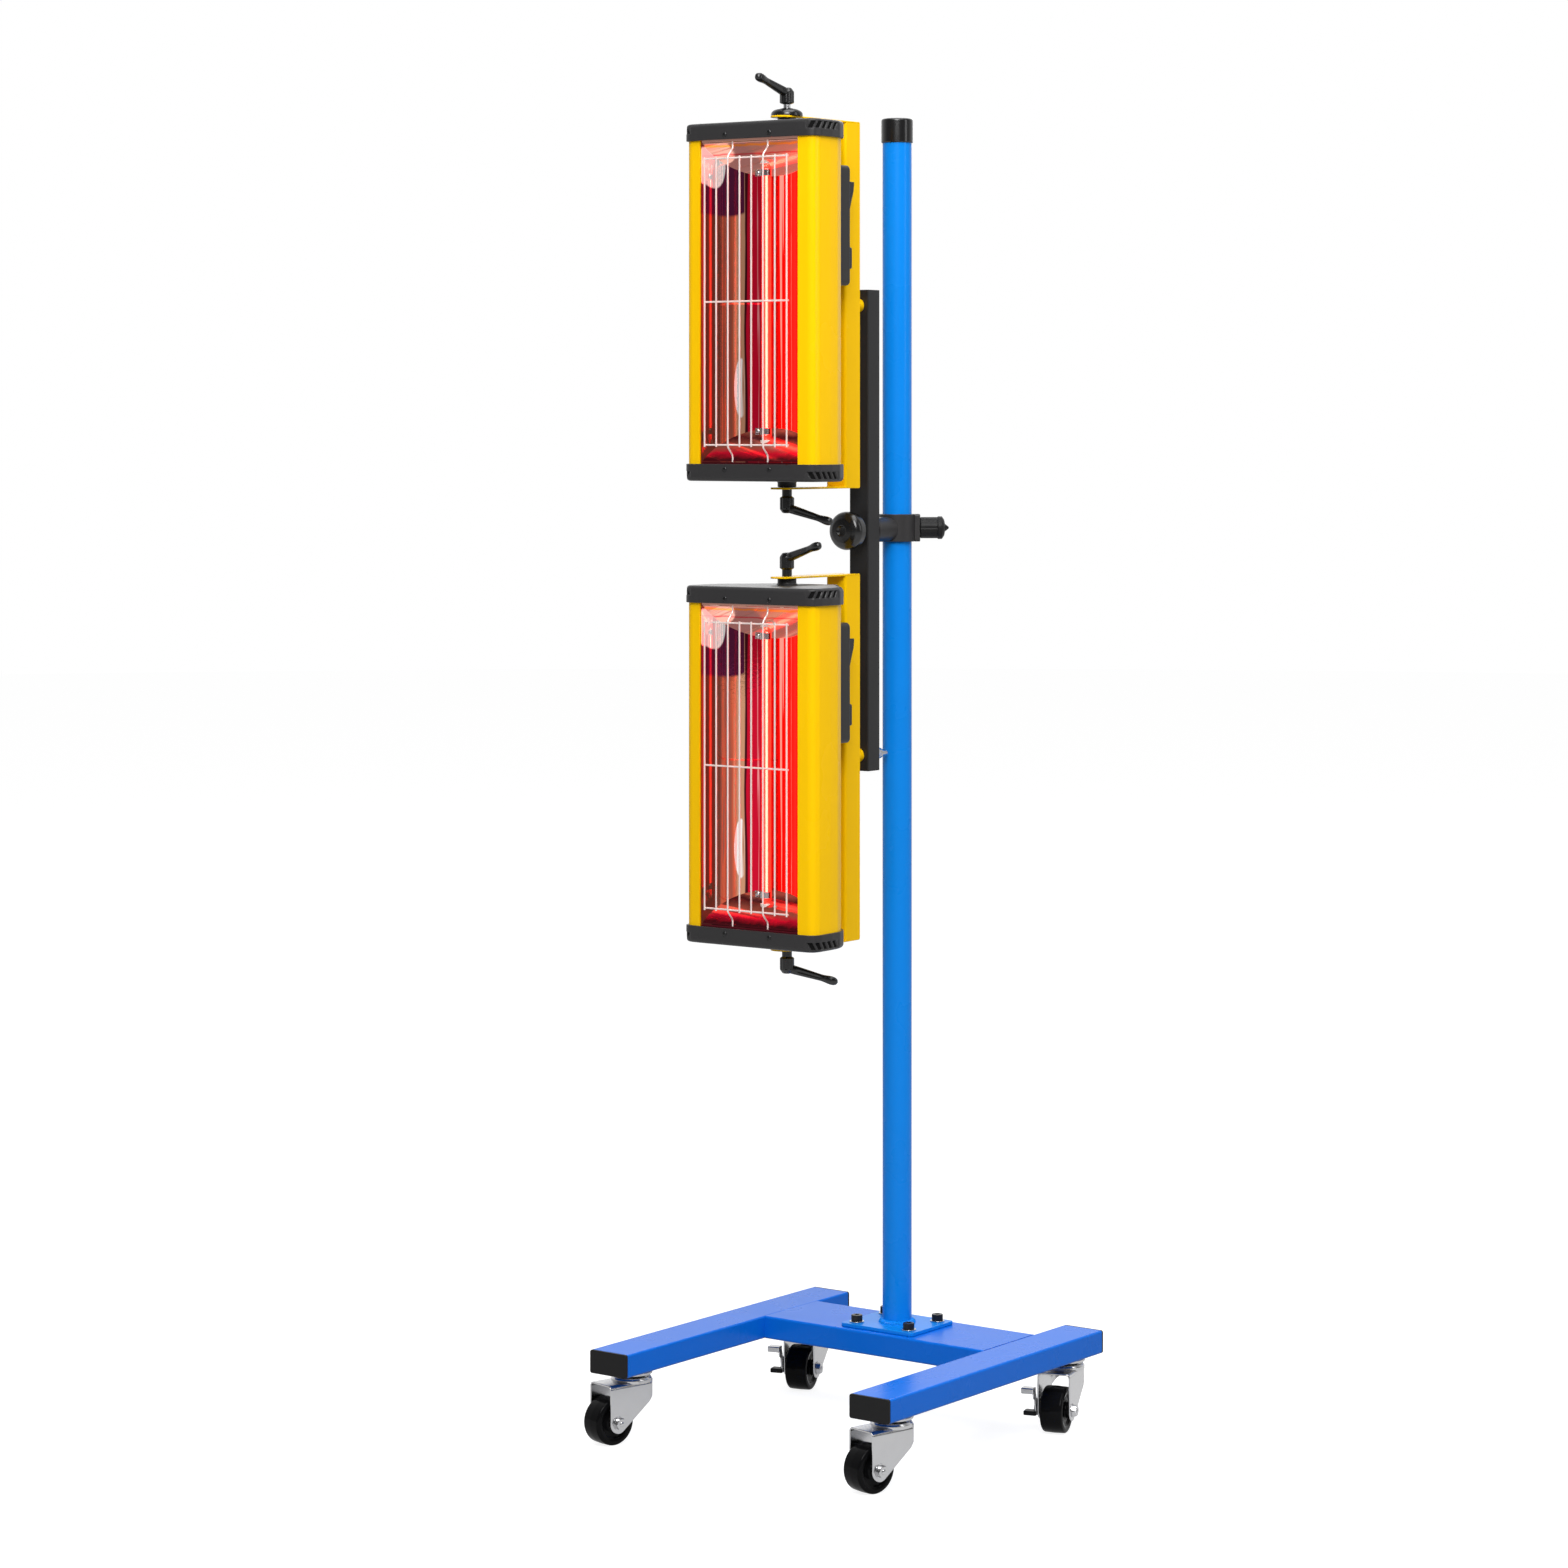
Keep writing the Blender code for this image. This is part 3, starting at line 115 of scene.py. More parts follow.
def turned(section, foot, along, around=48, wave=1.0):
    """Turned surface: foot + height x along + radius x wave x (cos a x across + sin a x over), for each
    point (radius, height) of the section and each angle a."""
    along = np.asarray(along, float)
    across = np.cross(along, UP if abs(along[2]) < 0.9 else BACK)
    across /= np.linalg.norm(across)
    over = np.cross(along, across)
    angle = full_turn(around)
    rim = np.cos(angle)[:, None] * across + np.sin(angle)[:, None] * over
    section = np.asarray(section, float)
    radius = section[:, :1] * wave * np.ones(around)
    return foot + section[:, 1, None, None] * along + radius[:, :, None] * rim


def skin(name, *sheets):
    """One mesh from grids of points whose rows run right round, each joined to the next. A grid alone gets
    a face across its first and its last row, one with "loop" has its last row joined to its first, and
    one with "open" has neither."""
    points, faces, count = [], [], 0
    for sheet in sheets:
        grid, ends = sheet if isinstance(sheet, tuple) else (sheet, "lids")
        rows, columns = grid.shape[:2]
        number = count + np.arange(rows * columns).reshape(rows, columns)
        ring = np.vstack([number, number[:1]]) if ends == "loop" else number
        corners = (ring[:-1], np.roll(ring[:-1], -1, 1), np.roll(ring[1:], -1, 1), ring[1:])
        faces += np.stack(corners, -1).reshape(-1, 4).tolist()
        if ends == "lids":
            faces += [number[0, ::-1].tolist(), number[-1].tolist()]
        points.append(grid.reshape(-1, 3))
        count += rows * columns
    mesh = bpy.data.meshes.new(name)
    mesh.from_pydata(np.vstack(points).tolist(), [], faces)
    shape = bmesh.new()
    shape.from_mesh(mesh)
    bmesh.ops.remove_doubles(shape, verts=shape.verts, dist=DOUBLES)
    bmesh.ops.recalc_face_normals(shape, faces=shape.faces)
    shape.to_mesh(mesh)
    shape.free()
    mesh.shade_smooth()
    mesh.set_sharp_from_angle(angle=SHARPEST_SMOOTH)
    piece = bpy.data.objects.new(name, mesh)
    bpy.context.scene.collection.objects.link(piece)
    piece.modifiers.new("even shading", "WEIGHTED_NORMAL").keep_sharp = True
    return piece


def fitted(name, sheets, material, slot, body, *nodes):
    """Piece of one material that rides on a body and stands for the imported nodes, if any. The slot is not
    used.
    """
    piece = skin(name, *sheets)
    piece.data.materials.append(material)
    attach(piece, body)
    if nodes:
        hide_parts(*nodes)
    return piece


def wired(node, values):
    """Each named input of a node gets its value, or a link where the value is another node's output."""
    for word, value in values.items():
        if isinstance(value, bpy.types.NodeSocket):
            node.id_data.links.new(value, node.inputs[word])
        else:
            node.inputs[word].default_value = value


def made(tree, kind, output, values, **settings):
    """The named output of a new node of this kind, with its settings and its inputs' values or links."""
    node = tree.nodes.new("ShaderNode" + kind)
    for word, value in settings.items():
        setattr(node, word, value)
    wired(node, values)
    return node.outputs[output]


def finish(name, colour, roughness, metallic=0.0, coat=0.0, shine=0.5, cloud=(14, 0.04), grain=(700, 0.05)):
    """Material whose colour and roughness drift with a slow noise, and whose skin has a fine bump.
    cloud and grain are (marks per metre, strength)."""
    material = bpy.data.materials.new(name)
    material.use_nodes = True
    tree = material.node_tree
    place = made(tree, "TexCoord", "Object", {})
    slow = made(tree, "TexNoise", "Fac", {"Scale": cloud[0], "Detail": 4, "Vector": place})
    fine = made(tree, "TexNoise", "Fac", {"Scale": grain[0], "Detail": 3, "Vector": place})
    dark, pale = ((*np.clip(np.array(colour) * share, 0, 1), 1) for share in (1 - cloud[1], 1 + cloud[1]))
    wired(tree.nodes["Principled BSDF"], {
        "Metallic": metallic, "Specular IOR Level": shine, "Coat Weight": coat, "Coat Roughness": 0.04,
        "Base Color": made(tree, "Mix", "Result", {"A": dark, "B": pale, "Factor": slow}, data_type="RGBA"),
        "Roughness": made(tree, "MapRange", "Result", {
            "To Min": roughness * 0.8, "To Max": roughness * 1.2, "Value": slow}),
        "Normal": made(tree, "Bump", "Normal", {
            "Strength": grain[1], "Distance": 0.3 / grain[0], "Height": fine}),
    })
    return material


blue_coat = finish("blue_powder_coat", BLUE, 0.28, coat=0.06, shine=0.12, grain=(420, 0.08))
pole_radius = (pole_high - pole_low)[0] / 2
section = ring_section(pole_radius - POLE_WALL, pole_radius, 0, pole_high[2] - pole_low[2], POLE_EDGE)
fitted("pole_tube", [(turned(section, pole_axis + pole_low * UP, UP, 96), "loop")],
       blue_coat, "blue_paint", "base", "pole")

# Pole cap: glossy black moulded cap with a flat crown, pushed over the pole's top
# until the crown sits on the tube.
BLACK = (0.007, 0.007, 0.0075)
CAP_CROWN_EDGE = 0.0028
CAP_LIP = 0.0005


def profile(edge, rows, steps=4):
    """Open section from rows of (radius, height, how round the corner is as a share of the edge)."""
    rows = np.array(rows, float)
    return soften(rows[:, :2], edge * rows[:, 2], closed=False, steps=steps)


black_gloss = finish("glossy_black_moulding", BLACK, 0.22, shine=0.6, grain=(500, 0.03))
cap_low, cap_high = np.array(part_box("pole_cap"))
cap_radius = (cap_high - cap_low)[0] / 2
bore = pole_radius + CAP_LIP
ceiling = pole_high[2] - cap_low[2] + CAP_LIP
crown = cap_high[2] - cap_low[2]
section = profile(CAP_LIP, (
    (0, crown, 0), (cap_radius, crown - CAP_LIP, CAP_CROWN_EDGE / CAP_LIP), (cap_radius, 2 * CAP_LIP, 1),
    (cap_radius - CAP_LIP, 0, 1), (bore, 0, 0.5), (bore, ceiling, 1), (0, ceiling, 0),
))
fitted("pole_end_cap", [turned(section, pole_axis + cap_low * UP, UP, 96)],
       black_gloss, "black_plastic", "base", "pole_cap")

# Legs and rail: rectangular steel tube with rolled corners, powder coated blue.
# The rail butts against the legs and is welded from below, so that the rolled
# corner of each leg leaves a groove above. They wear the pole's blue, made darker
# as painted shade for the dimmer light low down.
TUBE_CORNER = 0.0025
TUBE_WALL = 0.0015
RAIL_OVERLAP = 0.0002
# The pole's blue made darker: painted shade, a shaded copy of the one coat.
SHADED_BASE_BLUE = (0.002, 0.145, 0.690)
shaded_base_coat = finish("blue_powder_coat_painted_shade", SHADED_BASE_BLUE, 0.28, coat=0.04, shine=0.10, grain=(420, 0.08))


def rectangle(width, height):
    """Corners of a rectangle about its middle, anticlockwise."""
    return np.array(((1, 1), (-1, 1), (-1, -1), (1, -1))) * (width / 2, height / 2)


def laid(points, height, at):
    """Flat points set in space: origin + x first + y second + height third, where at holds the four."""
    origin, first, second, third = at
    height = np.broadcast_to(height, points.shape[:-1])
    return origin + points[..., :1] * first + points[..., 1:] * second + height[..., None] * third


def drawn_in(outline, distance):
    """Closed outline moved in: a point goes along the sum of its two edges' inward normals, over one plus
    their product, times the distance."""
    ahead = np.roll(outline, -1, 0)
    edge = ahead - outline
    sense = np.sign((outline[:, 0] * ahead[:, 1] - ahead[:, 0] * outline[:, 1]).sum())
    normal = sense * np.stack([-edge[:, 1], edge[:, 0]], 1) / np.linalg.norm(edge, axis=1)[:, None]
    before = np.roll(normal, 1, 0)
    return outline + distance * (before + normal) / (1 + (before * normal).sum(1))[:, None]


def tube_walls(outline, wall, length, at):
    """Straight tube: the outline and the outline drawn in by the wall, each at both ends."""
    rings = ((outline, 0), (outline, length), (drawn_in(outline, wall), length), (drawn_in(outline, wall), 0))
    return np.stack([laid(ring, height, at) for ring, height in rings])


def middle_of(node):
    """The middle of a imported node's box and the box's three lengths."""
    low, high = np.array(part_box(node))
    return (low + high) / 2, high - low


between_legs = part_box("right_leg")[0][0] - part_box("left_leg")[1][0]
tubes = (("left_leg", BACK, RIGHT), ("right_leg", BACK, RIGHT), ("cross_rail", RIGHT, BACK))
for node, along, across in tubes:
    centre, extent = middle_of(node)
    length = between_legs + 2 * RAIL_OVERLAP if node == "cross_rail" else extent @ along
    outline = soften(rectangle(extent @ across, extent[2]), TUBE_CORNER)
    at = (centre - along * length / 2, across, UP, along)
    fitted(node + "_tube", [(tube_walls(outline, TUBE_WALL, length, at), "loop")],
           shaded_base_coat, "blue_paint", "base", node)

# End caps of the legs: black polyethylene plugs with a chamfered face, hammered
# into the tubes. Only the face and its rim show.
PLUG_EDGE = 0.0012
PLUG_FIT = 1.2
POLYETHYLENE = (0.012, 0.012, 0.0125)
LAST_RING = 1.3


def slab(outline, low, high, edge, at, steps=4):
    """Plate with rounded rims: near each face the outline is drawn in by edge x (1 - cos a) at a height of
    edge x sin a from where the rim starts, and a last narrow ring lies flat in the face."""
    angle = np.linspace(0, np.pi / 2, steps + 1)
    inset = np.append(edge * (1 - np.cos(angle)), edge * LAST_RING)
    rise = np.append(edge * np.sin(angle), edge)
    insets = np.concatenate([inset[::-1], inset])
    heights = np.concatenate([low + edge - rise[::-1], high - edge + rise])
    return np.stack([laid(drawn_in(outline, i), h, at) for i, h in zip(insets, heights)])


black_satin = finish("satin_black_polyethylene", POLYETHYLENE, 0.42, shine=0.15, grain=(1600, 0.25))
for side in ("left", "right"):
    leg_centre, leg_extent = middle_of(side + "_leg")
    outline = soften(rectangle(leg_extent[0], leg_extent[2]), TUBE_CORNER)
    plug = drawn_in(outline, TUBE_WALL * PLUG_FIT)
    for end, facing in (("front", -1), ("rear", 1)):
        node = side + "_" + end + "_end_cap"
        centre, extent = middle_of(node)
        face = facing * centre[1] + extent[1] / 2
        start = facing * leg_centre[1] + leg_extent[1] / 2
        at = (centre * (1, 0, 1), RIGHT, UP, facing * BACK)
        tongue = np.stack([laid(plug, height, at) for height in (face - extent[1], start + PLUG_EDGE)])
        fitted(node + "_plug", [slab(outline, start, face, PLUG_EDGE, at), tongue],
               black_satin, "black_plastic", "base", node)

# Base plate: laser-cut steel plate that the pole is welded to, coated blue with
# the pole. The weld bead shows the even ripples of a hand-laid run.
PLATE_CORNER = 0.0035
PLATE_EDGE = 0.0005
PLATE_THICKNESS = 0.0038
BEAD_SIZE = 0.0040
BEAD_HEIGHT = 0.0036
BEAD_ROOT = 0.0005
BEAD_STEPS = 264
BEAD_RIPPLES = 44
BEAD_RIPPLE_SHARE = 0.10

centre, extent = middle_of("base_plate")
plate_low = centre[2] - extent[2] / 2
plate_top = plate_low + PLATE_THICKNESS
at = (centre * (1, 1, 0), RIGHT, BACK, UP)
plate = slab(soften(rectangle(extent[0], extent[1]), PLATE_CORNER), plate_low, plate_top, PLATE_EDGE, at)
angle = full_turn(BEAD_STEPS)
size = 1 + np.sin(BEAD_RIPPLES * angle + 0.6 * np.sin(3 * angle)) * BEAD_RIPPLE_SHARE
swell = np.linspace(0, np.pi / 2, 6)[:, None]
radius = pole_radius + BEAD_SIZE * np.cos(swell) * size
ring = np.stack([np.cos(angle), np.sin(angle), 0 * angle], -1)
height = BEAD_HEIGHT * np.sin(swell) * size
foot = pole_axis + plate_top * UP
bead = foot + radius[..., None] * ring + height[..., None] * UP
inside = foot + (pole_radius - BEAD_ROOT) * ring
bead = np.concatenate([bead, [inside + BEAD_HEIGHT * UP, inside - BEAD_SIZE * 0.1 * UP]])
fitted("base_plate_with_weld", [plate, (bead, "loop")], blue_coat, "blue_paint", "base", "base_plate")

# Base screws: black socket-head screws with knurled heads on bright zinc washers,
# through the plate into the rail.
HEAD_EDGE = 0.0006
HEAD_SHARE = 0.75
HEAD_KNURLS = 24
KNURL_DEPTH = 0.022
SOCKET_RADIUS = 0.0029
SOCKET_DEPTH = 0.0030
WASHER_FOOT = 0.0002
WASHER_HEIGHT = 0.0012
ZINC = (0.56, 0.56, 0.57)
black_oxide = finish("black_oxide_steel", (0.018, 0.018, 0.019), 0.32, metallic=0.5, grain=(2400, 0.15))
zinc = finish("bright_zinc_plate", ZINC, 0.22, metallic=1.0, cloud=(60, 0.06), grain=(1500, 0.05))


def hexagon(around):
    """How far a hexagon's rim lies out at each angle a, as a share of its corner:
    cos 30 / cos(a mod 60 - 30)."""
    return np.cos(np.pi / 6) / np.cos(full_turn(around) % (np.pi / 3) - np.pi / 6)


for number in (1, 2, 3, 4):
    node = "base_screw_%d" % number
    centre, extent = middle_of(node)
    foot = centre * (1, 1, 0) + plate_top * UP
    washer_radius = extent[0] / 2
    head_radius = HEAD_SHARE * washer_radius
    middle = centre[2] - plate_top
    top, bottom = middle + extent[2] / 2, middle - extent[2] / 2
    section = profile(HEAD_EDGE, (
        (0, top - SOCKET_DEPTH, 0), (SOCKET_RADIUS, top - SOCKET_DEPTH, 0), (SOCKET_RADIUS, top, 0.4),
        (head_radius, top, 1), (head_radius, WASHER_HEIGHT, 0.4), (head_radius / 2, WASHER_HEIGHT, 0),
        (head_radius / 2, bottom, 0.4), (0, bottom, 0),
    ), steps=3)
    knurl = 1 + KNURL_DEPTH * np.sign(np.sin(HEAD_KNURLS * full_turn(144) + 0.01))
    in_socket = (section[:, :1] <= SOCKET_RADIUS + 0.0003) & (section[:, 1:] > top - SOCKET_DEPTH - 0.0001)
    on_side = (section[:, :1] > head_radius - 0.0001) & (section[:, 1:] < top - HEAD_EDGE * 0.9)
    wave = np.where(in_socket, hexagon(144), np.where(on_side, knurl, 1.0))
    head = turned(section, foot, UP, 144, wave)
    fitted(node + "_socket_head", [head], black_oxide, "black_steel", "base", node)
    washer = soften(((0, WASHER_FOOT), (washer_radius, WASHER_FOOT), (washer_radius, WASHER_HEIGHT),
                     (0, WASHER_HEIGHT)), 0.0003, closed=False)
    fitted(node + "_washer", [turned(washer, foot, UP)], zinc, "zinc", "base")

# Castors: 50 mm swivel castors of pressed and bright-zinc-plated steel with hard
# black wheels. The top race is riveted to the leg, and the fork turns under it on
# balls. The rear pair has stamped brake levers on the axle.
RACE_EDGE = 0.0009
RACE_RIM = 0.0028
RACE_DISH = 0.0042
RACE_DEPTH = 0.0056
RACE_NECK = 0.0105
FORK_DROP = 0.0092
FORK_BEND = 0.0050
FORK_SHEET = 0.0020
FORK_EDGE = 0.0007
FORK_FRONT = 0.0418
FORK_REAR = -0.0205
FORK_REAR_CORNER = 0.0500
FORK_HEEL = 0.0078
FORK_HALF_WIDTH = 0.0185
FORK_ROUND = 0.0226
FORK_NARROWEST = 0.007
EYE_RADIUS = 0.0110
TRAIL = 0.0310
AXLE_HEIGHT = 0.0250
CROWN_RADIUS = 0.0218
CROWN_DEPTH = 0.0112
BALL_RING_RADIUS = 0.0143
AXLE_RADIUS = 0.0029
AXLE_HEAD = 0.0025
NUT_RADIUS = 0.0064
NUT_EDGE = 0.0007
TREAD_SHOULDER = 0.0034
TREAD_HALF_WIDTH = 0.0128
HUB_HALF_WIDTH = 0.0158
STRAP_ROOM = 0.0026
STRAP_INNER = 0.0003
STRAP_OUTER = 0.0021
STRAP_EDGE = 0.0004
TAB_LENGTH = 0.0112
TAB_INNER = 0.0006
TAB_REACH = 0.0146
TAB_CORNER = 0.0012
TAB_EDGE = 0.0011
TYRE = (0.005, 0.005, 0.0055)
STRAP_OUTLINE = (
    (-0.0055, -0.0035), (0.0000, -0.0062), (0.0120, -0.0062), (0.0128, 0.0000),
    (0.0165, 0.0120), (0.0212, 0.0150), (0.0212, 0.0226), (0.0150, 0.0226),
    (0.0105, 0.0130), (0.0000, 0.0078), (-0.0062, 0.0030),
)
tyre_black = finish("hard_black_tread", TYRE, 0.10, shine=0.06, cloud=(60, 0.2), grain=(900, 0.06))
race_dark = finish("greased_race", (0.03, 0.03, 0.032), 0.5, metallic=0.4)
brake_tabs = (
    ("upper", 0.0180, 0.0222, 0.0064, zinc, "zinc"),
    ("lower", 0.0090, -0.0036, 0.0050, black_satin, "black_plastic"),
)


def fork_shell(height, half_width, at):
    """Pressed fork: a strip carried down one side, over the crown and down the other. At each point of
    that arch the strip reaches from the rear edge to the front edge that the fork has at that height,
    and its rim is a rounded rectangle. The feet are round about the axle's eye. Behind the swivel the
    sides close in round the race, to no more than the root of the round's radius squared less the
    distance back squared."""
    origin, trail, over = at
    low = AXLE_HEIGHT - EYE_RADIUS
    arch = soften([(-half_width, low), (-half_width, height), (half_width, height), (half_width, low)],
                  FORK_BEND, closed=False, steps=7)
    foot = AXLE_HEIGHT - EYE_RADIUS * np.cos(np.linspace(0.06, np.pi / 2, 9))
    wall = np.concatenate([foot, np.linspace(AXLE_HEIGHT, height - FORK_BEND, 9)[1:-1]])
    left, right = (np.stack([np.full(len(wall), x), wall], 1) for x in (-half_width, half_width))
    path = np.vstack([left, arch[1:-1], right[::-1]])
    level = path[:, 1]
    drop = np.clip(AXLE_HEIGHT - level, 0, EYE_RADIUS)
    eye = np.sqrt(np.maximum(EYE_RADIUS ** 2 - drop ** 2, 0))
    heel = AXLE_HEIGHT - FORK_HEEL
    slant = np.interp(level, [heel, FORK_REAR_CORNER], [TRAIL - FORK_HEEL, FORK_REAR])
    rear = np.where(level > heel, slant, TRAIL - eye)
    front = np.where(level > AXLE_HEIGHT, FORK_FRONT, TRAIL + eye)
    run = np.gradient(path, axis=0)
    run /= np.linalg.norm(run, axis=1)[:, None]
    inward = np.stack([run[:, 1], -run[:, 0]], 1)
    corner = soften(rectangle(1, FORK_SHEET), FORK_EDGE, steps=3).reshape(4, 4, 2)
    share = np.linspace(0, 1, 18)[1:-1, None]
    faces = [corner[i, -1] + share * (corner[i + 1, 0] - corner[i, -1]) for i in (0, 2)]
    block = np.vstack([corner[0], faces[0], corner[1], corner[2], faces[1], corner[3]])
    inset = 0.5 - np.abs(block[:, 0])
    depth = FORK_SHEET / 2 - block[:, 1]
    half = (front - rear) / 2
    rim = half[:, None] - np.minimum(inset[None], 0.6 * half[:, None])
    reach = np.where(inset[None] < 0.001, rim, 2 * np.abs(block[:, 0]) * rim[:, :1])
    along = (front + rear)[:, None] / 2 + np.sign(block[:, 0]) * reach
    across = path[:, :1] + depth * inward[:, :1]
    closest = np.sqrt(np.maximum(FORK_ROUND ** 2 - np.minimum(along, 0) ** 2, FORK_NARROWEST ** 2)) - depth
    across = np.sign(across) * np.minimum(np.abs(across), closest)
    upward = path[:, 1:] + depth * inward[:, 1:]
    return origin + along[..., None] * trail + across[..., None] * over + upward[..., None] * UP


for side, end in ((side, end) for side in ("left", "right") for end in ("front", "rear")):
    name = side + "_" + end
    body = name + "_castor"
    race_low, race_high = np.array(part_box(name + "_castor_mount"))
    wheel_centre, wheel_extent = middle_of(name + "_wheel")
    swivel = (race_low + race_high) / 2 * (1, 1, 0)
    trail = (wheel_centre - swivel) * (1, 1, 0)
    trail /= np.linalg.norm(trail)
    over = np.cross(UP, trail)
    axle = swivel + TRAIL * trail + AXLE_HEIGHT * UP
    radius, top = (race_high - race_low)[0] / 2, race_high[2]
    section = profile(RACE_EDGE, (
        (0, top, 0), (radius, top, 1), (radius, top - RACE_RIM, 1), (radius - 0.0030, top - RACE_DISH, 1),
        (RACE_NECK, top - RACE_DISH, 0), (RACE_NECK, top - RACE_DEPTH, 0), (0, top - RACE_DEPTH, 0),
    ))
    race = turned(section, swivel, UP, 72)
    fitted(name + "_top_race", [race], zinc, "zinc", "base", name + "_castor_mount")

    crown, low = top - RACE_DEPTH, top - CROWN_DEPTH
    section = profile(0.0010, (
        (0, crown - 0.0010, 0), (CROWN_RADIUS - 0.0070, crown - 0.0010, 1),
        (CROWN_RADIUS - 0.0045, crown - 0.0002, 1), (CROWN_RADIUS - 0.0016, crown - 0.0002, 1),
        (CROWN_RADIUS, crown - 0.0024, 1.5), (CROWN_RADIUS, low, 0), (0, low, 0),
    ))
    shell = fork_shell(top - FORK_DROP, FORK_HALF_WIDTH, (swivel, trail, over))
    crown_disc = turned(section, swivel, UP, 72)
    fitted(name + "_pressed_fork", [shell, crown_disc], zinc, "zinc", body, name + "_fork")
    section = ((0, crown - 0.0001), (BALL_RING_RADIUS, crown - 0.0001), (BALL_RING_RADIUS, low), (0, low))
    fitted(name + "_ball_ring", [turned(section, swivel, UP)], race_dark, "black_steel", body)

    # The axle: a bolt with a flat head on one side and a nut and its own round end on the other
    outside = FORK_HALF_WIDTH
    far = outside + (STRAP_ROOM if end == "rear" else 0)
    bolt = profile(NUT_EDGE, (
        (0, -far - AXLE_HEAD, 0), (NUT_RADIUS, -far - AXLE_HEAD, 1), (NUT_RADIUS, -far, 0),
        (AXLE_RADIUS, -far, 0), (AXLE_RADIUS, outside + 0.0020, 0), (AXLE_RADIUS, outside + 0.0056, 2),
        (0, outside + 0.0062, 0),
    ))
    nut = profile(NUT_EDGE, (
        (0.0025, outside, 0), (0.0075, outside, 0), (0.0075, outside + 0.0007, 0),
        (NUT_RADIUS, outside + 0.0007, 0), (NUT_RADIUS, outside + 0.0048, 1), (0.0025, outside + 0.0048, 0),
    ))
    facet = np.where((nut[:, :1] < 0.0066) & (nut[:, 1:] > outside + 0.0008), hexagon(96), 1.0)
    fitted(name + "_axle_bolt", [turned(bolt, axle, over, 96), (turned(nut, axle, over, 96, facet), "loop")],
           zinc, "zinc", body)

    radius, half = wheel_extent[2] / 2, TREAD_HALF_WIDTH
    side_of_hub = [
        (0.0031, HUB_HALF_WIDTH, 0), (0.0078, HUB_HALF_WIDTH, 0.2), (0.0082, half - 0.0015, 0.5),
        (0.0105, half - 0.0026, 0.4), (0.0158, half - 0.0026, 0.4), (0.0172, half - 0.0006, 0.3),
        (0.0205, half, 0.6), (radius - 0.0004, half - 0.0008, 1),
    ]
    other_side = [(out, -along, rounding) for out, along, rounding in side_of_hub[::-1]]
    hub = profile(TREAD_SHOULDER, side_of_hub + [(radius, 0, 9)] + other_side)
    fitted(name + "_tyre_and_hub", [(turned(hub, axle, over, 96), "loop")],
           tyre_black, "wheel_black", name + "_wheel", name + "_wheel")

    if end == "rear":
        outline = soften(STRAP_OUTLINE, 0.0030, steps=3)
        at = (axle, trail, UP, -over)
        strap = slab(outline, outside + STRAP_INNER, outside + STRAP_OUTER, STRAP_EDGE, at)
        fitted(name + "_brake_strap", [strap], zinc, "zinc", name + "_brake", name + "_brake_lever")
        for word, along, height, thick, tab_finish, slot in brake_tabs:
            at = (axle + along * trail + height * UP, trail, UP, -over)
            outline = soften(rectangle(TAB_LENGTH, thick), TAB_CORNER)
            tab = slab(outline, outside + TAB_INNER, outside + TAB_REACH, TAB_EDGE, at)
            fitted(name + "_brake_" + word + "_tab", [tab], tab_finish, slot, name + "_brake")

# Clamp: a black liner sleeve round the pole and a charcoal die-cast collar over it,
# drawn tight by the hand knob in its lug. The bar's boss stands on the collar.
GAP = 0.0003
LINER_EDGE = 0.0004
COLLAR_WALL = 0.0027
COLLAR_EDGE = 0.0010
LUG_WIDTH = 0.0200
LUG_REACH = 0.0250
LUG_CORNER = 0.0022
LUG_TURN = np.radians(36.5)
BOSS_RADIUS = 0.0134
BOSS_BORE = 0.0045
BOSS_BORE_DEPTH = 0.010
CHARCOAL = (0.031, 0.030, 0.031)
charcoal = finish("satin_charcoal_moulding", CHARCOAL, 0.36, shine=0.25, grain=(1800, 0.22))

centre, extent = middle_of("clamp_liner")
inner, half = extent[0] / 2 + GAP, extent[2] / 2
section = ring_section(pole_radius + GAP, extent[0] / 2, -half, half, LINER_EDGE)
fitted("clamp_liner_sleeve", [(turned(section, centre, UP, 96), "loop")],
       black_satin, "black_plastic", "liner", "clamp_liner")

centre, extent = middle_of("clamp_collar")
bar_low, bar_high = np.array(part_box("mounting_bar"))
bar_centre = (bar_low + bar_high) / 2
clamp_centre = pole_axis + centre[2] * UP
half = extent[2] / 2
lug_way = np.array((np.cos(LUG_TURN), np.sin(LUG_TURN), 0))
at = (clamp_centre, np.cross(UP, lug_way), UP, lug_way)
band = turned(ring_section(inner, inner + COLLAR_WALL, -half, half, COLLAR_EDGE), clamp_centre, UP, 120)
lug = slab(soften(rectangle(LUG_WIDTH, 2 * half), LUG_CORNER), inner + 2 * GAP, LUG_REACH, COLLAR_EDGE, at)
face = pole_axis[1] - bar_high[1] - GAP
section = profile(COLLAR_EDGE, (
    (0, inner, 0), (BOSS_RADIUS, inner, 0), (BOSS_RADIUS, face, 1), (BOSS_BORE, face, 0.5),
    (BOSS_BORE, face - BOSS_BORE_DEPTH, 0), (0, face - BOSS_BORE_DEPTH, 0),
))
boss = turned(section, pole_axis + bar_centre * UP, -BACK, 64)
fitted("clamp_collar_casting", [(band, "loop"), lug, boss], charcoal, "cap_charcoal", "clamp", "clamp_collar")

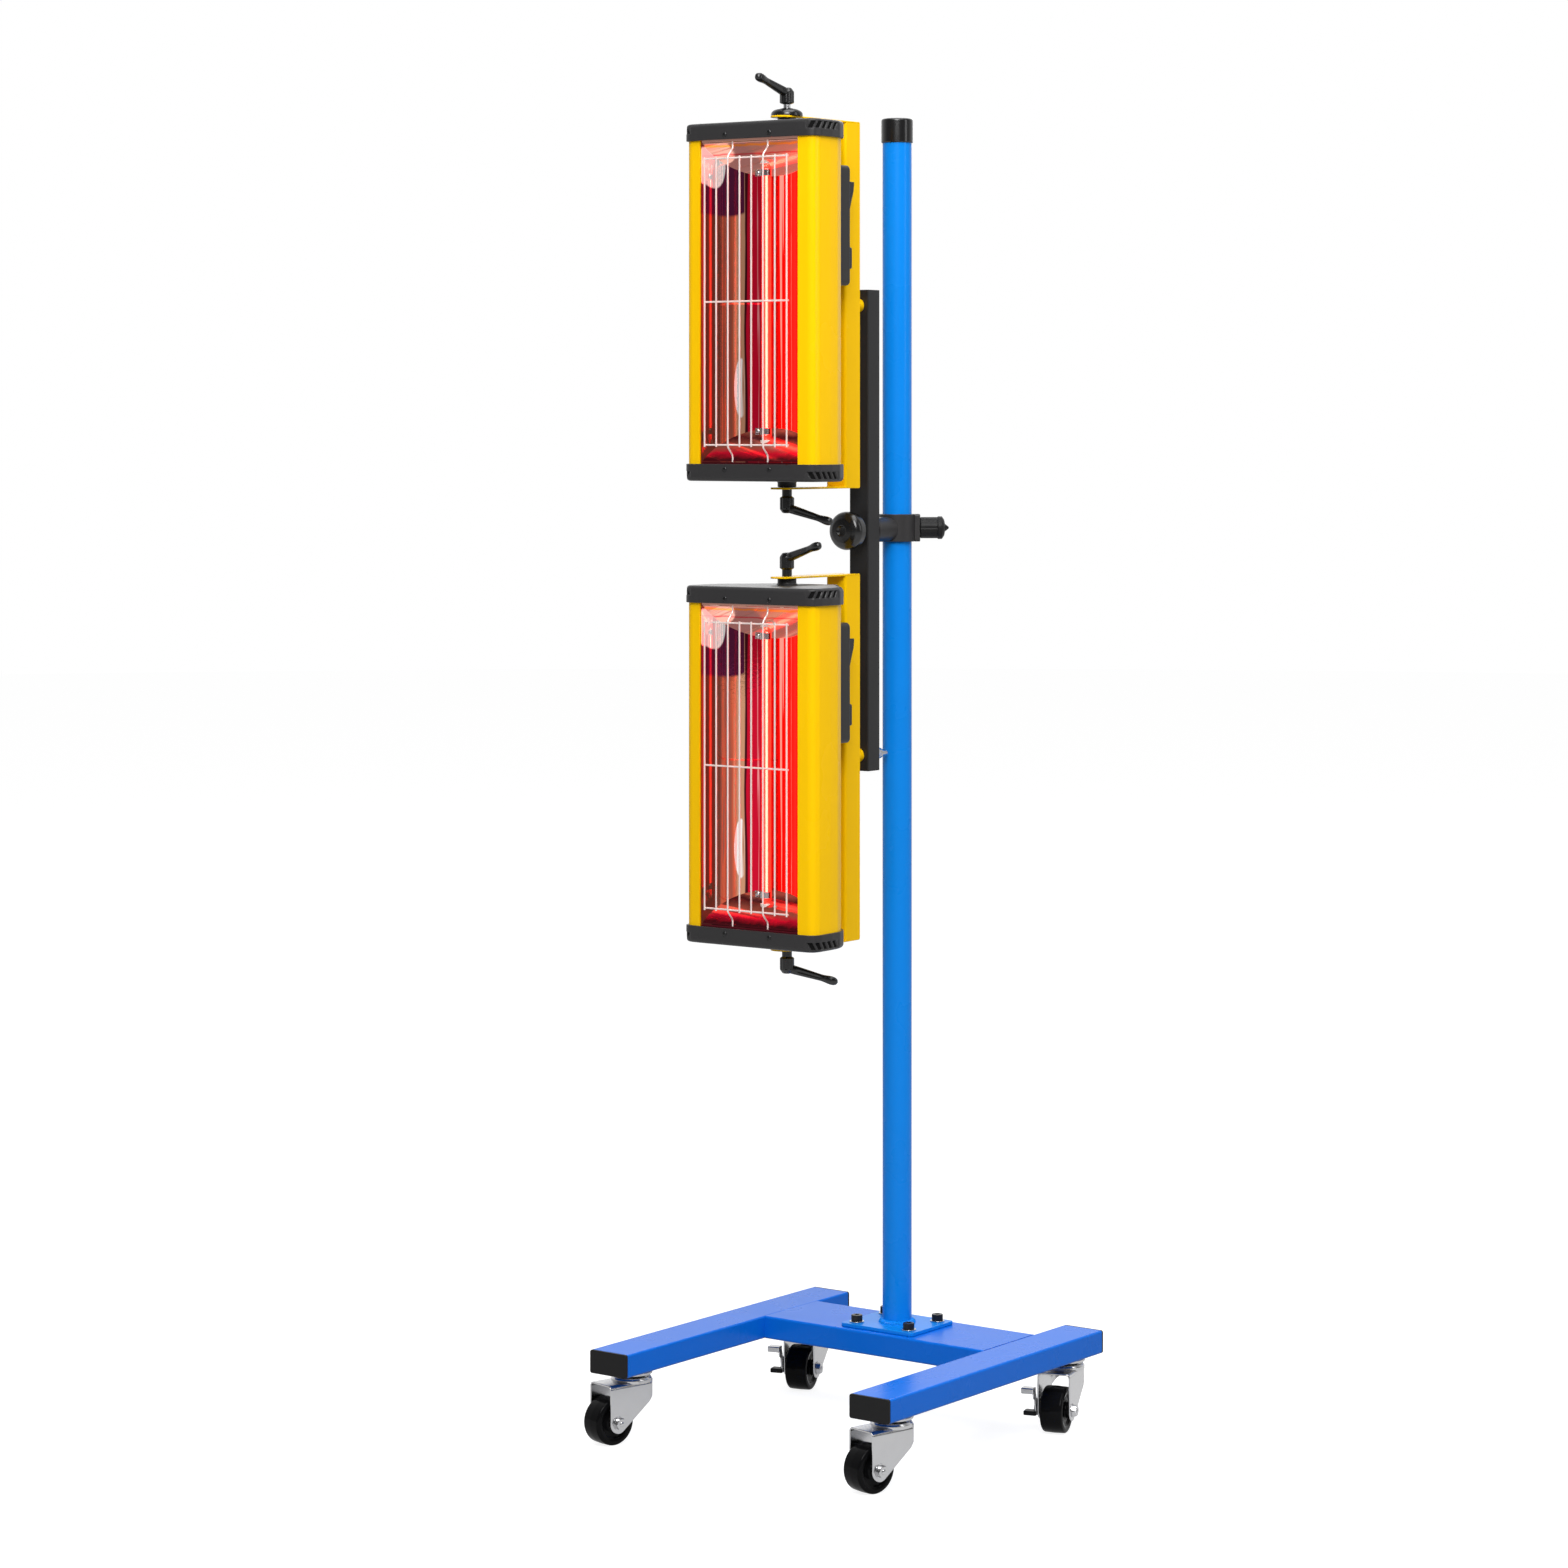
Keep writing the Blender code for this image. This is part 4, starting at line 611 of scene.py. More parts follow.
# Hand knob of the clamp: black fluted grip with a wider rim and a pointed end cap,
# on a short steel stud in the lug.
GRIP_FLUTES = 10
GRIP_FLUTE_SHARE = 0.045
GRIP_LOW = 0.0008
GRIP_HIGH = 0.0192
GRIP_SECTION = (
    (0, -0.0042, 0), (0.0029, -0.0042, 0.3), (0.0029, 0.0003, 0), (0.0116, 0.0003, 1),
    (0.0116, GRIP_HIGH, 0.6), (0.0125, 0.0196, 0.6), (0.0125, 0.0240, 1.2), (0.0085, 0.0266, 1.5),
    (0.0042, 0.0274, 1), (0.0012, 0.0312, 0.8), (0, 0.0318, 0),
)
section = profile(0.0010, GRIP_SECTION)
flute = 1 - GRIP_FLUTE_SHARE * np.maximum(np.cos(GRIP_FLUTES * full_turn(120)), 0) ** 2
grip = (section[:, :1] > 0.0100) & (section[:, 1:] > GRIP_LOW) & (section[:, 1:] < GRIP_HIGH)
knob = turned(section, clamp_centre + LUG_REACH * lug_way, lug_way, 120, np.where(grip, flute, 1.0))
fitted("clamp_hand_knob", [knob], black_satin, "black_plastic", "clamp_knob", "clamp_knob")

# Spindle and bar: a threaded steel stud from the clamp's boss through a charcoal
# coated rectangular tube that carries both heads.
BAR_WALL = 0.0020
BAR_CORNER = 0.0014
THREAD_PITCH = 0.00125
THREAD_DEPTH = 0.0004
BAR_COAT = (0.020, 0.020, 0.021)
bar_coat = finish("charcoal_bar_coat", BAR_COAT, 0.32, shine=0.28, cloud=(20, 0.08), grain=(900, 0.12))

centre, extent = middle_of("bar_spindle")
along = np.linspace(0, extent[1], int(extent[1] / (THREAD_PITCH / 6)))
thread = extent[0] / 2 - THREAD_DEPTH * (0.5 - 0.5 * np.cos(2 * np.pi * along / THREAD_PITCH))
section = np.vstack([(0, 0), np.stack([thread, along], 1), (0, extent[1])])
fitted("bar_spindle_stud", [turned(section, centre - extent[1] / 2 * BACK, BACK, 32)],
       zinc, "zinc", "clamp", "bar_spindle")

extent = bar_high - bar_low
outline = soften(rectangle(extent[0], extent[1]), BAR_CORNER)
at = (bar_centre * (1, 1, 0) + bar_low * UP, RIGHT, BACK, UP)
fitted("mounting_bar_tube", [(tube_walls(outline, BAR_WALL, extent[2], at), "loop")],
       bar_coat, "bar_black", "bar", "mounting_bar")

# Round knob of the bar: glossy black ball-nosed knob moulded round a brass nut,
# with a dimple in its nose.
BALL_KNOB_SECTION = (
    (0, 0.0305, 0), (0.0042, 0.0305, 0.2), (0.0060, 0.0328, 0.3), (0.0128, 0.0318, 1.5),
    (0.0186, 0.0288, 1.8), (0.0210, 0.0238, 1.5), (0.0200, 0.0140, 0.8), (0.0150, 0.0096, 0.6),
    (0.0110, 0.0088, 0.4), (0.0110, 0.0003, 0.2), (0.0043, 0.0003, 0), (0.0043, 0.0165, 0), (0, 0.0165, 0),
)
knob_foot = pole_axis + bar_centre * UP + (bar_low[1] - pole_axis[1]) * BACK
knob = turned(profile(0.0045, BALL_KNOB_SECTION, steps=6), knob_foot, -BACK, 96)
fitted("bar_ball_knob", [knob], black_gloss, "black_plastic", "bar_knob", "bar_knob")

# Brackets: each head hangs in a yellow bracket of 2 mm steel. A channel forms the
# web, and an arm is welded across each end. A sleeve spaces the web off the bar,
# and a button-head bolt runs through all three.
YELLOW = (0.960, 0.560, 0.001)
LAMP_FORWARD = 0.0360
BRACKET_SHEET = 0.0020
WEB_FRONT = 0.0880
FLANGE_REAR = 0.1150
ARM_TIP = 0.0200
SLEEVE_RADIUS = 0.0075
BOLT_RADIUS = 0.0040
BOLT_HEAD_RADIUS = 0.0065
BOLT_HEAD_HEIGHT = 0.0030
BOLT_SOCKET_RADIUS = 0.0024
BOLT_SOCKET_FLOOR = 0.0013
NUT_LENGTH = 0.0160
NUT_HEXAGON = 0.0110
NUT_BORE = 0.0041
yellow_coat = finish(
    "yellow_powder_coat", YELLOW, 0.26, coat=0.04, shine=0.08, cloud=(10, 0.03), grain=(420, 0.08))

heads = [(word, middle_of(word + "_lamp")[0] + LAMP_FORWARD * BACK) for word in ("upper", "lower")]
for (word, pivot), tail in zip(heads, (0.0, 0.0110)):
    low, high = np.array(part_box(word + "_bracket"))
    half, width = (high - low)[2] / 2, (high - low)[0] / 2
    at = (pivot, RIGHT, BACK, UP)
    inside, rear, web_rear = width - BRACKET_SHEET, FLANGE_REAR, WEB_FRONT + BRACKET_SHEET
    channel = soften([
        (-width, rear), (-width, WEB_FRONT), (width, WEB_FRONT), (width, rear),
        (inside, rear), (inside, web_rear), (-inside, web_rear), (-inside, rear),
    ], 0.0006 * np.array((1, 5, 5, 1, 1, 1, 1, 1)))
    web = slab(channel, GAP - half + BRACKET_SHEET / 2, half - BRACKET_SHEET / 2, GAP, at)
    outline = soften([(-width, -ARM_TIP), (width, -ARM_TIP), (width, rear), (-width, rear)],
                     np.array((0.96, 0.96, 0.12, 0.12)) * width, steps=9)
    arms = [slab(outline, low, low + BRACKET_SHEET, 0.0005, at) for low in (-half, half - BRACKET_SHEET)]
    start, end = WEB_FRONT + BRACKET_SHEET / 2, high[1] - pivot[1]
    section = ring_section(BOLT_RADIUS + GAP, SLEEVE_RADIUS, start, end, 0.0004)
    fitted(word + "_bracket_weldment", [web, *arms, (turned(section, pivot, BACK, 64), "loop")],
           yellow_coat, "yellow_paint", word + "_bracket", word + "_bracket")

    bar_rear = bar_high[1] - pivot[1]
    end = bar_rear + NUT_LENGTH + tail if tail else bar_rear - GAP
    head = WEB_FRONT - GAP
    section = profile(0.0006, (
        (0, head - BOLT_SOCKET_FLOOR, 0), (BOLT_SOCKET_RADIUS, head - BOLT_SOCKET_FLOOR, 0.1),
        (BOLT_SOCKET_RADIUS, head - BOLT_HEAD_HEIGHT, 0.3), (BOLT_HEAD_RADIUS, head - 0.0010, 2),
        (BOLT_HEAD_RADIUS, head, 0.4), (BOLT_RADIUS, head, 0), (BOLT_RADIUS, end, 1), (0, end, 0),
    ))
    in_socket = (section[:, :1] < BOLT_SOCKET_RADIUS + 0.0002) & (section[:, 1:] < head)
    parts = [turned(section, pivot, BACK, 96, np.where(in_socket, hexagon(96), 1.0))]
    if tail:
        flat = bar_rear + GAP
        nut = profile(0.0008, (
            (NUT_BORE, flat, 0), (0.0072, flat, 0.4), (0.0072, flat + NUT_HEXAGON, 0.8),
            (0.0060, flat + NUT_HEXAGON + 0.0008, 0.5), (0.0060, flat + NUT_LENGTH, 1),
            (NUT_BORE, flat + NUT_LENGTH, 0),
        ))
        facet = np.where(nut[:, :1] > 0.0065, hexagon(96), 1.0)
        parts.append((turned(nut, pivot, BACK, 96, facet), "loop"))
    fitted(word + "_bracket_button_bolt", parts, zinc, "zinc", "bar", word + "_bracket_bolt")

# Housings: 1.5 mm steel sheet folded round the sides and the back of each head and
# coated yellow. It is open at the front, where both edges turn in as lips.
BODY_HALF_WIDTH = 0.0840
BODY_FRONT = 0.0680
BODY_DEPTH = 0.1060
BODY_SHEET = 0.0015
BODY_HALF_LENGTH = 0.1740
BODY_BEND = 0.0120
BODY_EDGE = 0.0003
BODY_HALF = np.array((
    (0.762, 0.000), (0.917, 0.010), (0.975, 0.036), (1.000, 0.104), (1.000, 0.283), (0.988, 0.420),
    (0.950, 0.515), (0.880, 0.588), (0.738, 0.689), (0.600, 0.800), (0.510, 0.905), (0.476, 1.000),
)) * (BODY_HALF_WIDTH, BODY_DEPTH) - (0, BODY_FRONT)
body_outline = np.vstack([BODY_HALF, BODY_HALF[::-1] * (-1, 1)])


def beside(path, distance):
    """Open path moved to its left: each point goes the distance along the path's normal there."""
    run = np.gradient(path, axis=0)
    return path + distance * np.stack([-run[:, 1], run[:, 0]], 1) / np.linalg.norm(run, axis=1)[:, None]


def sheet_section(path, thickness):
    """Closed outline of a sheet: the path, and back along it a sheet's thickness to one side."""
    return np.vstack([path, beside(path, thickness)[::-1]])


sheet = sheet_section(soften(body_outline, BODY_BEND, closed=False, steps=5), BODY_SHEET)
for word, pivot in heads:
    walls = slab(sheet, -BODY_HALF_LENGTH, BODY_HALF_LENGTH, BODY_EDGE, (pivot, RIGHT, BACK, UP))
    fitted(word + "_folded_housing", [walls], yellow_coat, "yellow_paint", word + "_head", word + "_housing")

# End caps of the heads: charcoal mouldings that slip over the housing's ends. Each
# has a boss for the pivot, two small screws in its front and slanted louvres in a
# sunk panel on both sides, which let the warm air out. A thin matte black band
# just inside the wall, seen only through the slots, is painted shade for their depth.
CAP_CLEAR = 0.0003
CAP_WALL = 0.0025
CAP_HEIGHT = 0.0180
CAP_RIM = 0.0045
CAP_FOOT = 0.0004
CAP_LID = 0.0030
CAP_STEP = 0.0007
CAP_ROWS = 22
BOSS_FOOT = 0.0116
BOSS_NECK = 0.0100
BOSS_STEP = 0.0016
PANEL_START = 0.0745
PANEL_END = 0.1260
PANEL_LOW = 0.0072
PANEL_HIGH = 0.0158
PANEL_DEPTH = 0.0005
LOUVRES = 5
LOUVRE_DEPTH = 0.0022
LOUVRE_SHARE = 0.66
LOUVRE_SLANT = 0.60
# Band of painted shade behind the louvres: its low edge, its depth in from the cap's outside and its
# thickness.
SHADE_BAND_LOW = 0.0062
SHADE_BAND_DEPTH = 0.0017
SHADE_BAND_SHEET = 0.0003
CAP_SCREW_X = 0.0290
CAP_SCREW_HEIGHT = 0.0052
CAP_SCREW_SECTION = (
    (0, -0.0003, 0), (0.0027, -0.0003, 0), (0.0027, 0.0004, 1), (0.0018, 0.0011, 1), (0.0009, 0.0012, 0.3),
    (0.0009, 0.0005, 0), (0, 0.0005, 0),
)
ENDS = (("top", 1), ("bottom", -1))


def spread(path, step):
    """Open path with its points set at even distances along it."""
    run = np.append(0, np.cumsum(np.linalg.norm(np.diff(path, axis=0), axis=1)))
    marks = np.linspace(0, run[-1], int(run[-1] / step) + 1)
    return np.stack([np.interp(marks, run, path[:, 0]), np.interp(marks, run, path[:, 1])], 1)


def evenly(path, step):
    """Closed path with its points set at even distances along it."""
    return spread(np.vstack([path, path[:1]]), step)[:-1]


def within(value, low, high, fade):
    """Nearly 1 between low and high and 0 outside, with a straight ramp of the given length at both."""
    return np.clip((value - low) / fade, 0, 1) * np.clip((high - value) / fade, 0, 1)


def moulded_cap(outline, at):
    """Cap wall and rim, with z from the cap's open edge. Depth of the louvres: a ramp that is 1 in each
    slot, where the slot number is the share of the panel's length, run round the outline from the middle
    of the front, less the slant x the share of its height."""
    angle = np.linspace(0, np.pi / 2, 8)
    wall = np.linspace(CAP_FOOT, CAP_HEIGHT - CAP_RIM, CAP_ROWS)
    inset = np.concatenate([
        [CAP_WALL, CAP_WALL, CAP_FOOT], 0 * wall, CAP_RIM * (1 - np.cos(angle)), [CAP_RIM * LAST_RING]])
    rise = np.concatenate([
        [CAP_HEIGHT - CAP_LID, 0, 0], wall, CAP_HEIGHT - CAP_RIM * (1 - np.sin(angle)), [CAP_HEIGHT]])
    level, count = rise[:, None], len(outline)
    step = np.linalg.norm(outline[1] - outline[0])
    front = np.argmin(np.abs(outline[:, 0]) + (outline[:, 1] > 0))
    apart = np.abs(np.arange(count) - front)
    along = step * np.minimum(apart, count - apart)[None]
    panel = within(along, PANEL_START, PANEL_END, 0.0012) * within(level, PANEL_LOW, PANEL_HIGH, 0.0007)
    share = (along - PANEL_START) / (PANEL_END - PANEL_START)
    lean = LOUVRE_SLANT * (level - PANEL_LOW) / (PANEL_HIGH - PANEL_LOW)
    number = share * (LOUVRES + LOUVRE_SLANT) - lean
    slot = within(number % 1, (1 - LOUVRE_SHARE) / 2, (1 + LOUVRE_SHARE) / 2, 0.07)
    slot *= within(level, PANEL_LOW + 0.0004, PANEL_HIGH - 0.0004, 0.0005) * (number > 0) * (number < LOUVRES)
    sunk = panel * PANEL_DEPTH + slot * (LOUVRE_DEPTH - PANEL_DEPTH)
    sunk[:3] = 0
    edge = drawn_in(outline, 1.0) - outline
    return laid(outline + (inset[:, None] + sunk)[..., None] * edge, level, at)


# Painted shade: a matte black sheet standing for the shade in the louvre slots.
painted_slot_shade = finish("painted_slot_shade", (0.004, 0.004, 0.004), 0.8, shine=0.1, cloud=(90, 0.3), grain=(2600, 0.5))
closed_outline = soften(body_outline, BODY_BEND * np.r_[0.05, np.ones(22), 0.05], steps=5)
cap_outline = evenly(drawn_in(closed_outline, -CAP_CLEAR - CAP_WALL), CAP_STEP)
near, far = (drawn_in(cap_outline, depth) for depth in (SHADE_BAND_DEPTH, SHADE_BAND_DEPTH + SHADE_BAND_SHEET))
screw_section = profile(0.0005, CAP_SCREW_SECTION)
for (word, pivot), (end, way) in ((head, end) for head in heads for end in ENDS):
    node = word + "_" + end + "_cap"
    centre, extent = middle_of(node)
    length = extent[2]
    foot = pivot + ((centre - pivot)[2] - way * length / 2) * UP
    at = (foot, RIGHT, BACK, way * UP)
    boss = profile(0.0008, (
        (0, CAP_HEIGHT - CAP_LID, 0), (BOSS_FOOT, CAP_HEIGHT - CAP_LID, 0), (BOSS_FOOT, CAP_HEIGHT, 1),
        (BOSS_NECK, CAP_HEIGHT + BOSS_STEP, 3), (BOSS_NECK, length, 1), (0, length, 0),
    ))
    fitted(node + "_moulding", [moulded_cap(cap_outline, at), turned(boss, foot, way * UP, 64)],
           charcoal, "cap_charcoal", word + "_head", node)
    # Painted shade: a thin black band inside the cap wall, seen only through the slots, stands for the shade
    # in them.
    rings = ((near, SHADE_BAND_LOW), (near, PANEL_HIGH), (far, PANEL_HIGH), (far, SHADE_BAND_LOW))
    shade_band = np.stack([laid(ring, level, at) for ring, level in rings])
    fitted(node + "_louvre_painted_shade", [(shade_band, "loop")], painted_slot_shade, "black_steel", word + "_head")
    front = foot - (BODY_FRONT + CAP_CLEAR + CAP_WALL) * BACK + way * CAP_SCREW_HEIGHT * UP
    screws = [turned(screw_section, front + x * RIGHT, -BACK, 32) for x in (-CAP_SCREW_X, CAP_SCREW_X)]
    fitted(node + "_screws", screws, black_oxide, "black_steel", word + "_head")

# Reflectors: polished sheet bent to a full half ellipse behind the lamp, closed by
# sloping end walls with a flange. Its copper and red streaks are painted reflections
# of the glowing lamp and the studio over a heat tint, with painted highlights, and it
# gives off a painted glow standing for the lamp's light in it.
REFLECTOR_HALF_WIDTH = 0.0625
REFLECTOR_DEPTH = 0.0440
REFLECTOR_FULLNESS = 2.2
REFLECTOR_SHEET = 0.0008
REFLECTOR_HALF_LENGTH = 0.1697
REFLECTOR_EDGE = 0.0002
END_WALL_SLOPE = 0.80
END_WALL_SHEET = 0.0010
END_WALL_SETBACK = 0.0012
FLANGE_REACH = 0.0070
FLANGE_OVERLAP = 0.0006
# Colours of the reflectors: the reds with their pink and cream lines are the glowing tube's painted
# reflection, the tan, copper and brown heat tint with painted reflection of the studio.
RED = (0.52, 0.006, 0.004)
CREAM = (1.0, 0.78, 0.66)
DEEP = (0.62, 0.006, 0.030)
PURPLE = (0.10, 0.012, 0.045)
PINK = (0.90, 0.34, 0.34)
DIM = (0.16, 0.050, 0.032)
MAROON = (0.06, 0.006, 0.010)
TAN = (0.62, 0.29, 0.17)
COPPER = (0.66, 0.11, 0.05)
BROWN = (0.34, 0.09, 0.06)
ROSE = (0.62, 0.32, 0.25)
AMBER = (0.95, 0.34, 0.06)
# Tone of the painted highlights, and the share of the tones past which they show.
PAINTED_HIGHLIGHT = (1.0, 0.95, 0.93)
PAINTED_HIGHLIGHT_FROM = 0.832
TROUGH_TONES = (
    (0.00, RED), (0.358, RED), (0.362, PINK), (0.366, RED), (0.462, RED), (0.468, CREAM), (0.476, CREAM),
    (0.482, RED), (0.66, RED), (0.706, DEEP), (0.711, PINK), (0.716, DEEP), (0.790, DEEP), (0.802, MAROON),
    (0.824, MAROON), (0.832, TAN), (0.900, TAN), (0.918, COPPER), (0.940, BROWN), (0.966, BROWN),
    (0.974, COPPER), (0.984, BROWN), (1.004, BROWN), (1.012, DIM), (1.044, DIM),
)
# Painted highlights and a dark painted reflection on the trough, each an ellipse in the sheet's UV.
TROUGH_PAINTED_REFLECTIONS = (
    ((0.900, 0.880), (0.300, 0.115), PURPLE), ((0.968, 0.925), (0.056, 0.072), PAINTED_HIGHLIGHT),
    ((0.806, 0.235), (0.052, 0.095), PAINTED_HIGHLIGHT),
)
# End walls: painted reflection of the glowing lamp, the top's rose with an amber stripe and a deep red line,
# the bottom's maroon and brown.
TOP_TONES = (
    (0.78, ROSE), (0.918, ROSE), (0.925, DEEP), (0.931, ROSE), (0.965, ROSE), (0.971, AMBER), (0.979, AMBER),
    (0.984, ROSE), (1.060, ROSE),
)
BOTTOM_TONES = (
    (0.78, MAROON), (0.830, BROWN), (0.870, MAROON), (0.925, BROWN), (0.965, DEEP), (1.000, MAROON),
)


def painted_reflection_tint(name, roughness, tones, glow, wander, painted_patches=(), stretch=(1, 0.05, 1), level=False):
    """Polished sheet whose colour is painted reflection in streaks: the tones are set along the share u
    across the sheet, or along how near a point is to the sheet's end where level is true, plus wander x a
    noise that is drawn out along the streaks. Each patch, an ellipse given by its middle and its two half
    sizes and cut off where the tones turn red, has a tone of its own: a painted highlight or a painted
    reflection. The tint also glows as painted light."""
    material = finish(name, tones[0][1], roughness, metallic=1.0, cloud=(30, 0.1), grain=(300, 0.02))
    tree = material.node_tree
    place = made(tree, "UVMap", "UV", {}, uv_map="sheet")
    drawn = made(tree, "Mapping", "Vector", {"Scale": stretch, "Vector": place})
    streak = made(tree, "TexNoise", "Fac", {"Scale": 26, "Detail": 4, "Distortion": 0.3, "Vector": drawn})
    share = made(tree, "SeparateXYZ", "Y" if level else "X", {"Vector": place})
    if level:
        share = made(tree, "Math", "Value", {0: share, 1: 2, 2: -1}, operation="MULTIPLY_ADD")
        share = made(tree, "Math", "Value", {0: share}, operation="ABSOLUTE")
    total = made(tree, "Math", "Value", {0: streak, 1: wander, 2: share}, operation="MULTIPLY_ADD")
    tint = made(tree, "ValToRGB", "Color", {"Fac": total})
    stops = tint.node.color_ramp.elements
    stops[0].position, stops[0].color = tones[0][0], (*tones[0][1], 1)
    stops[1].position, stops[1].color = tones[-1][0], (*tones[-1][1], 1)
    for position, tone in tones[1:-1]:
        stops.new(position).color = (*tone, 1)
    cut = made(tree, "MapRange", "Result", {
        "From Min": PAINTED_HIGHLIGHT_FROM, "From Max": PAINTED_HIGHLIGHT_FROM + 0.008, "Value": total})
    for (u, v), (half_u, half_v), tone in painted_patches:
        about = made(tree, "Mapping", "Vector", {
            "Scale": (1 / half_u, 1 / half_v, 0), "Location": (-u / half_u, -v / half_v, 0), "Vector": place})
        out = made(tree, "VectorMath", "Value", {0: about}, operation="LENGTH")
        edge = made(tree, "MapRange", "Result", {"From Min": 1.0, "From Max": 0.93, "Value": out})
        both = made(tree, "Math", "Value", {0: edge, 1: cut}, operation="MULTIPLY")
        tint = made(tree, "Mix", "Result", {"Factor": both, "A": tint, "B": (*tone, 1)}, data_type="RGBA")
    # The tint also glows: painted light of the lamp in the reflector, which is no lamp.
    wired(tree.nodes["Principled BSDF"], {
        "Base Color": tint, "Emission Color": tint, "Emission Strength": glow})
    return material


def mapped(piece, foot, half_width, half_length):
    """UV map of a sheet: u is the share across it from its right side, v the share up it from its bottom."""
    mesh = piece.data
    points = np.empty(3 * len(mesh.vertices))
    mesh.vertices.foreach_get("co", points)
    corners = np.empty(len(mesh.loops), int)
    mesh.loops.foreach_get("vertex_index", corners)
    place = points.reshape(-1, 3)[corners] - foot
    share = np.stack([0.5 - place[:, 0] / (2 * half_width), 0.5 + place[:, 2] / (2 * half_length)], 1)
    mesh.uv_layers.new(name="sheet").data.foreach_set("uv", share.ravel())


# Reflector materials: painted reflections, painted highlights and a painted glow of the lamp.
mirror = painted_reflection_tint("reflector_painted_reflections", 0.035, TROUGH_TONES, 0.40, 0.10, TROUGH_PAINTED_REFLECTIONS)
end_mirrors = (
    painted_reflection_tint("top_wall_painted_reflections", 0.10, TOP_TONES, 0.32, 0.02, stretch=(0.3, 1, 1), level=True),
    painted_reflection_tint("bottom_wall_painted_reflections", 0.08, BOTTOM_TONES, 0.60, 0.06, stretch=(0.3, 1, 1), level=True),
)
reflector_front = BODY_SHEET + GAP - BODY_FRONT
turn = np.linspace(0, np.pi, 161)
full = 2 / REFLECTOR_FULLNESS
across = REFLECTOR_HALF_WIDTH * np.sign(np.cos(turn)) * np.abs(np.cos(turn)) ** full
bowl = spread(np.stack([across, REFLECTOR_DEPTH * np.sin(turn) ** full], 1), 0.0010)
trough = sheet_section(bowl, -REFLECTOR_SHEET) + (0, reflector_front)
wall_outline = drawn_in(bowl[1:-1] + (0, reflector_front), 0.0002)
flange = soften(rectangle(2 * REFLECTOR_HALF_WIDTH, FLANGE_REACH), 0.0004)
high = REFLECTOR_HALF_LENGTH - END_WALL_SETBACK
for word, pivot in heads:
    at = (pivot, RIGHT, BACK, UP)
    walls = slab(trough, -REFLECTOR_HALF_LENGTH, REFLECTOR_HALF_LENGTH, REFLECTOR_EDGE, at, 2)
    piece = fitted(
        word + "_polished_trough", [walls], mirror, "reflector", word + "_head", word + "_reflector")
    mapped(piece, pivot, REFLECTOR_HALF_WIDTH, REFLECTOR_HALF_LENGTH)
    for (end, way), end_mirror in zip(ENDS, end_mirrors):
        at = (pivot, RIGHT, BACK, way * UP)
        wall = slab(wall_outline, high - END_WALL_SHEET, high, REFLECTOR_EDGE, at, 2)
        wall[..., 2] -= way * END_WALL_SLOPE * (wall[..., 1] - pivot[1] - reflector_front)
        foot = pivot + way * (high + FLANGE_REACH / 2 - FLANGE_OVERLAP) * UP + reflector_front * BACK
        lip = slab(flange, 0, REFLECTOR_SHEET, REFLECTOR_EDGE, (foot, RIGHT, UP, BACK), 2)
        piece = fitted(word + "_" + end + "_end_wall", [wall, lip], end_mirror, "reflector", word + "_head")
        mapped(piece, pivot, REFLECTOR_HALF_WIDTH, REFLECTOR_HALF_LENGTH)

# Lamps: a ruby quartz tube with a glowing tungsten coil and ceramic ends, held in
# spring clips on the end walls.
TUBE_RADIUS = 0.0050
TUBE_PINCH_RADIUS = 0.0024
TUBE_SETBACK = 0.0220
TUBE_TAPER = 0.0040
TUBE_BEND = 0.0030
CERAMIC_RADIUS = 0.0065
PIN_RADIUS = 0.0030
SEAT_SETBACK = 0.0080
COIL_SETBACK = 0.0060
COIL_RADIUS = 0.0008
COIL_WIRE = 0.0003
COIL_PITCH = 0.0012
COIL_STEPS = 10
CLIP_SETBACK = 0.0102
CLIP_HALF_WIDTH = 0.0035
CLIP_SHEET = 0.0006
CLIP_PATH = ((-0.0145, 0), (-0.0078, 0), (-0.0050, 0.0052), (0.0050, 0.0052), (0.0066, 0.0020))
CLIP_SCREW_X = -0.0112
CLIP_SCREW_SECTION = (
    (0, -0.0025, 0), (0.0030, -0.0025, 0), (0.0030, 0.0006, 1), (0.0019, 0.0016, 1), (0, 0.0018, 0),
)
GLOW = (1.0, 0.80, 0.75, 1)
RUBY_GLOW = (1.0, 0.010, 0.004, 1)
ceramic = finish("white_ceramic", (0.80, 0.76, 0.70), 0.5, grain=(1500, 0.15))
quartz = finish("ruby_quartz", (0.95, 0.14, 0.09), 0.06, cloud=(40, 0.06), grain=(600, 0.02))
wired(quartz.node_tree.nodes["Principled BSDF"], {
    "Transmission Weight": 0.55, "IOR": 1.45, "Emission Color": RUBY_GLOW, "Emission Strength": 1.8})
glow = finish("glowing_tungsten", (0.9, 0.4, 0.2), 0.4, cloud=(80, 0.1))
wired(glow.node_tree.nodes["Principled BSDF"], {"Emission Color": GLOW, "Emission Strength": 6.0})


def wire(path, radius, side, around=12):
    """Round wire along a path in one plane: a circle of the given radius about each point, in the plane of
    the side and of the normal to both the side and the path."""
    run = np.gradient(path, axis=0)
    run /= np.linalg.norm(run, axis=1)[:, None]
    normal = np.cross(side, run)
    angle = full_turn(around)
    ring = np.cos(angle)[None, :, None] * side + np.sin(angle)[None, :, None] * normal[:, None]
    return path[:, None] + radius * ring


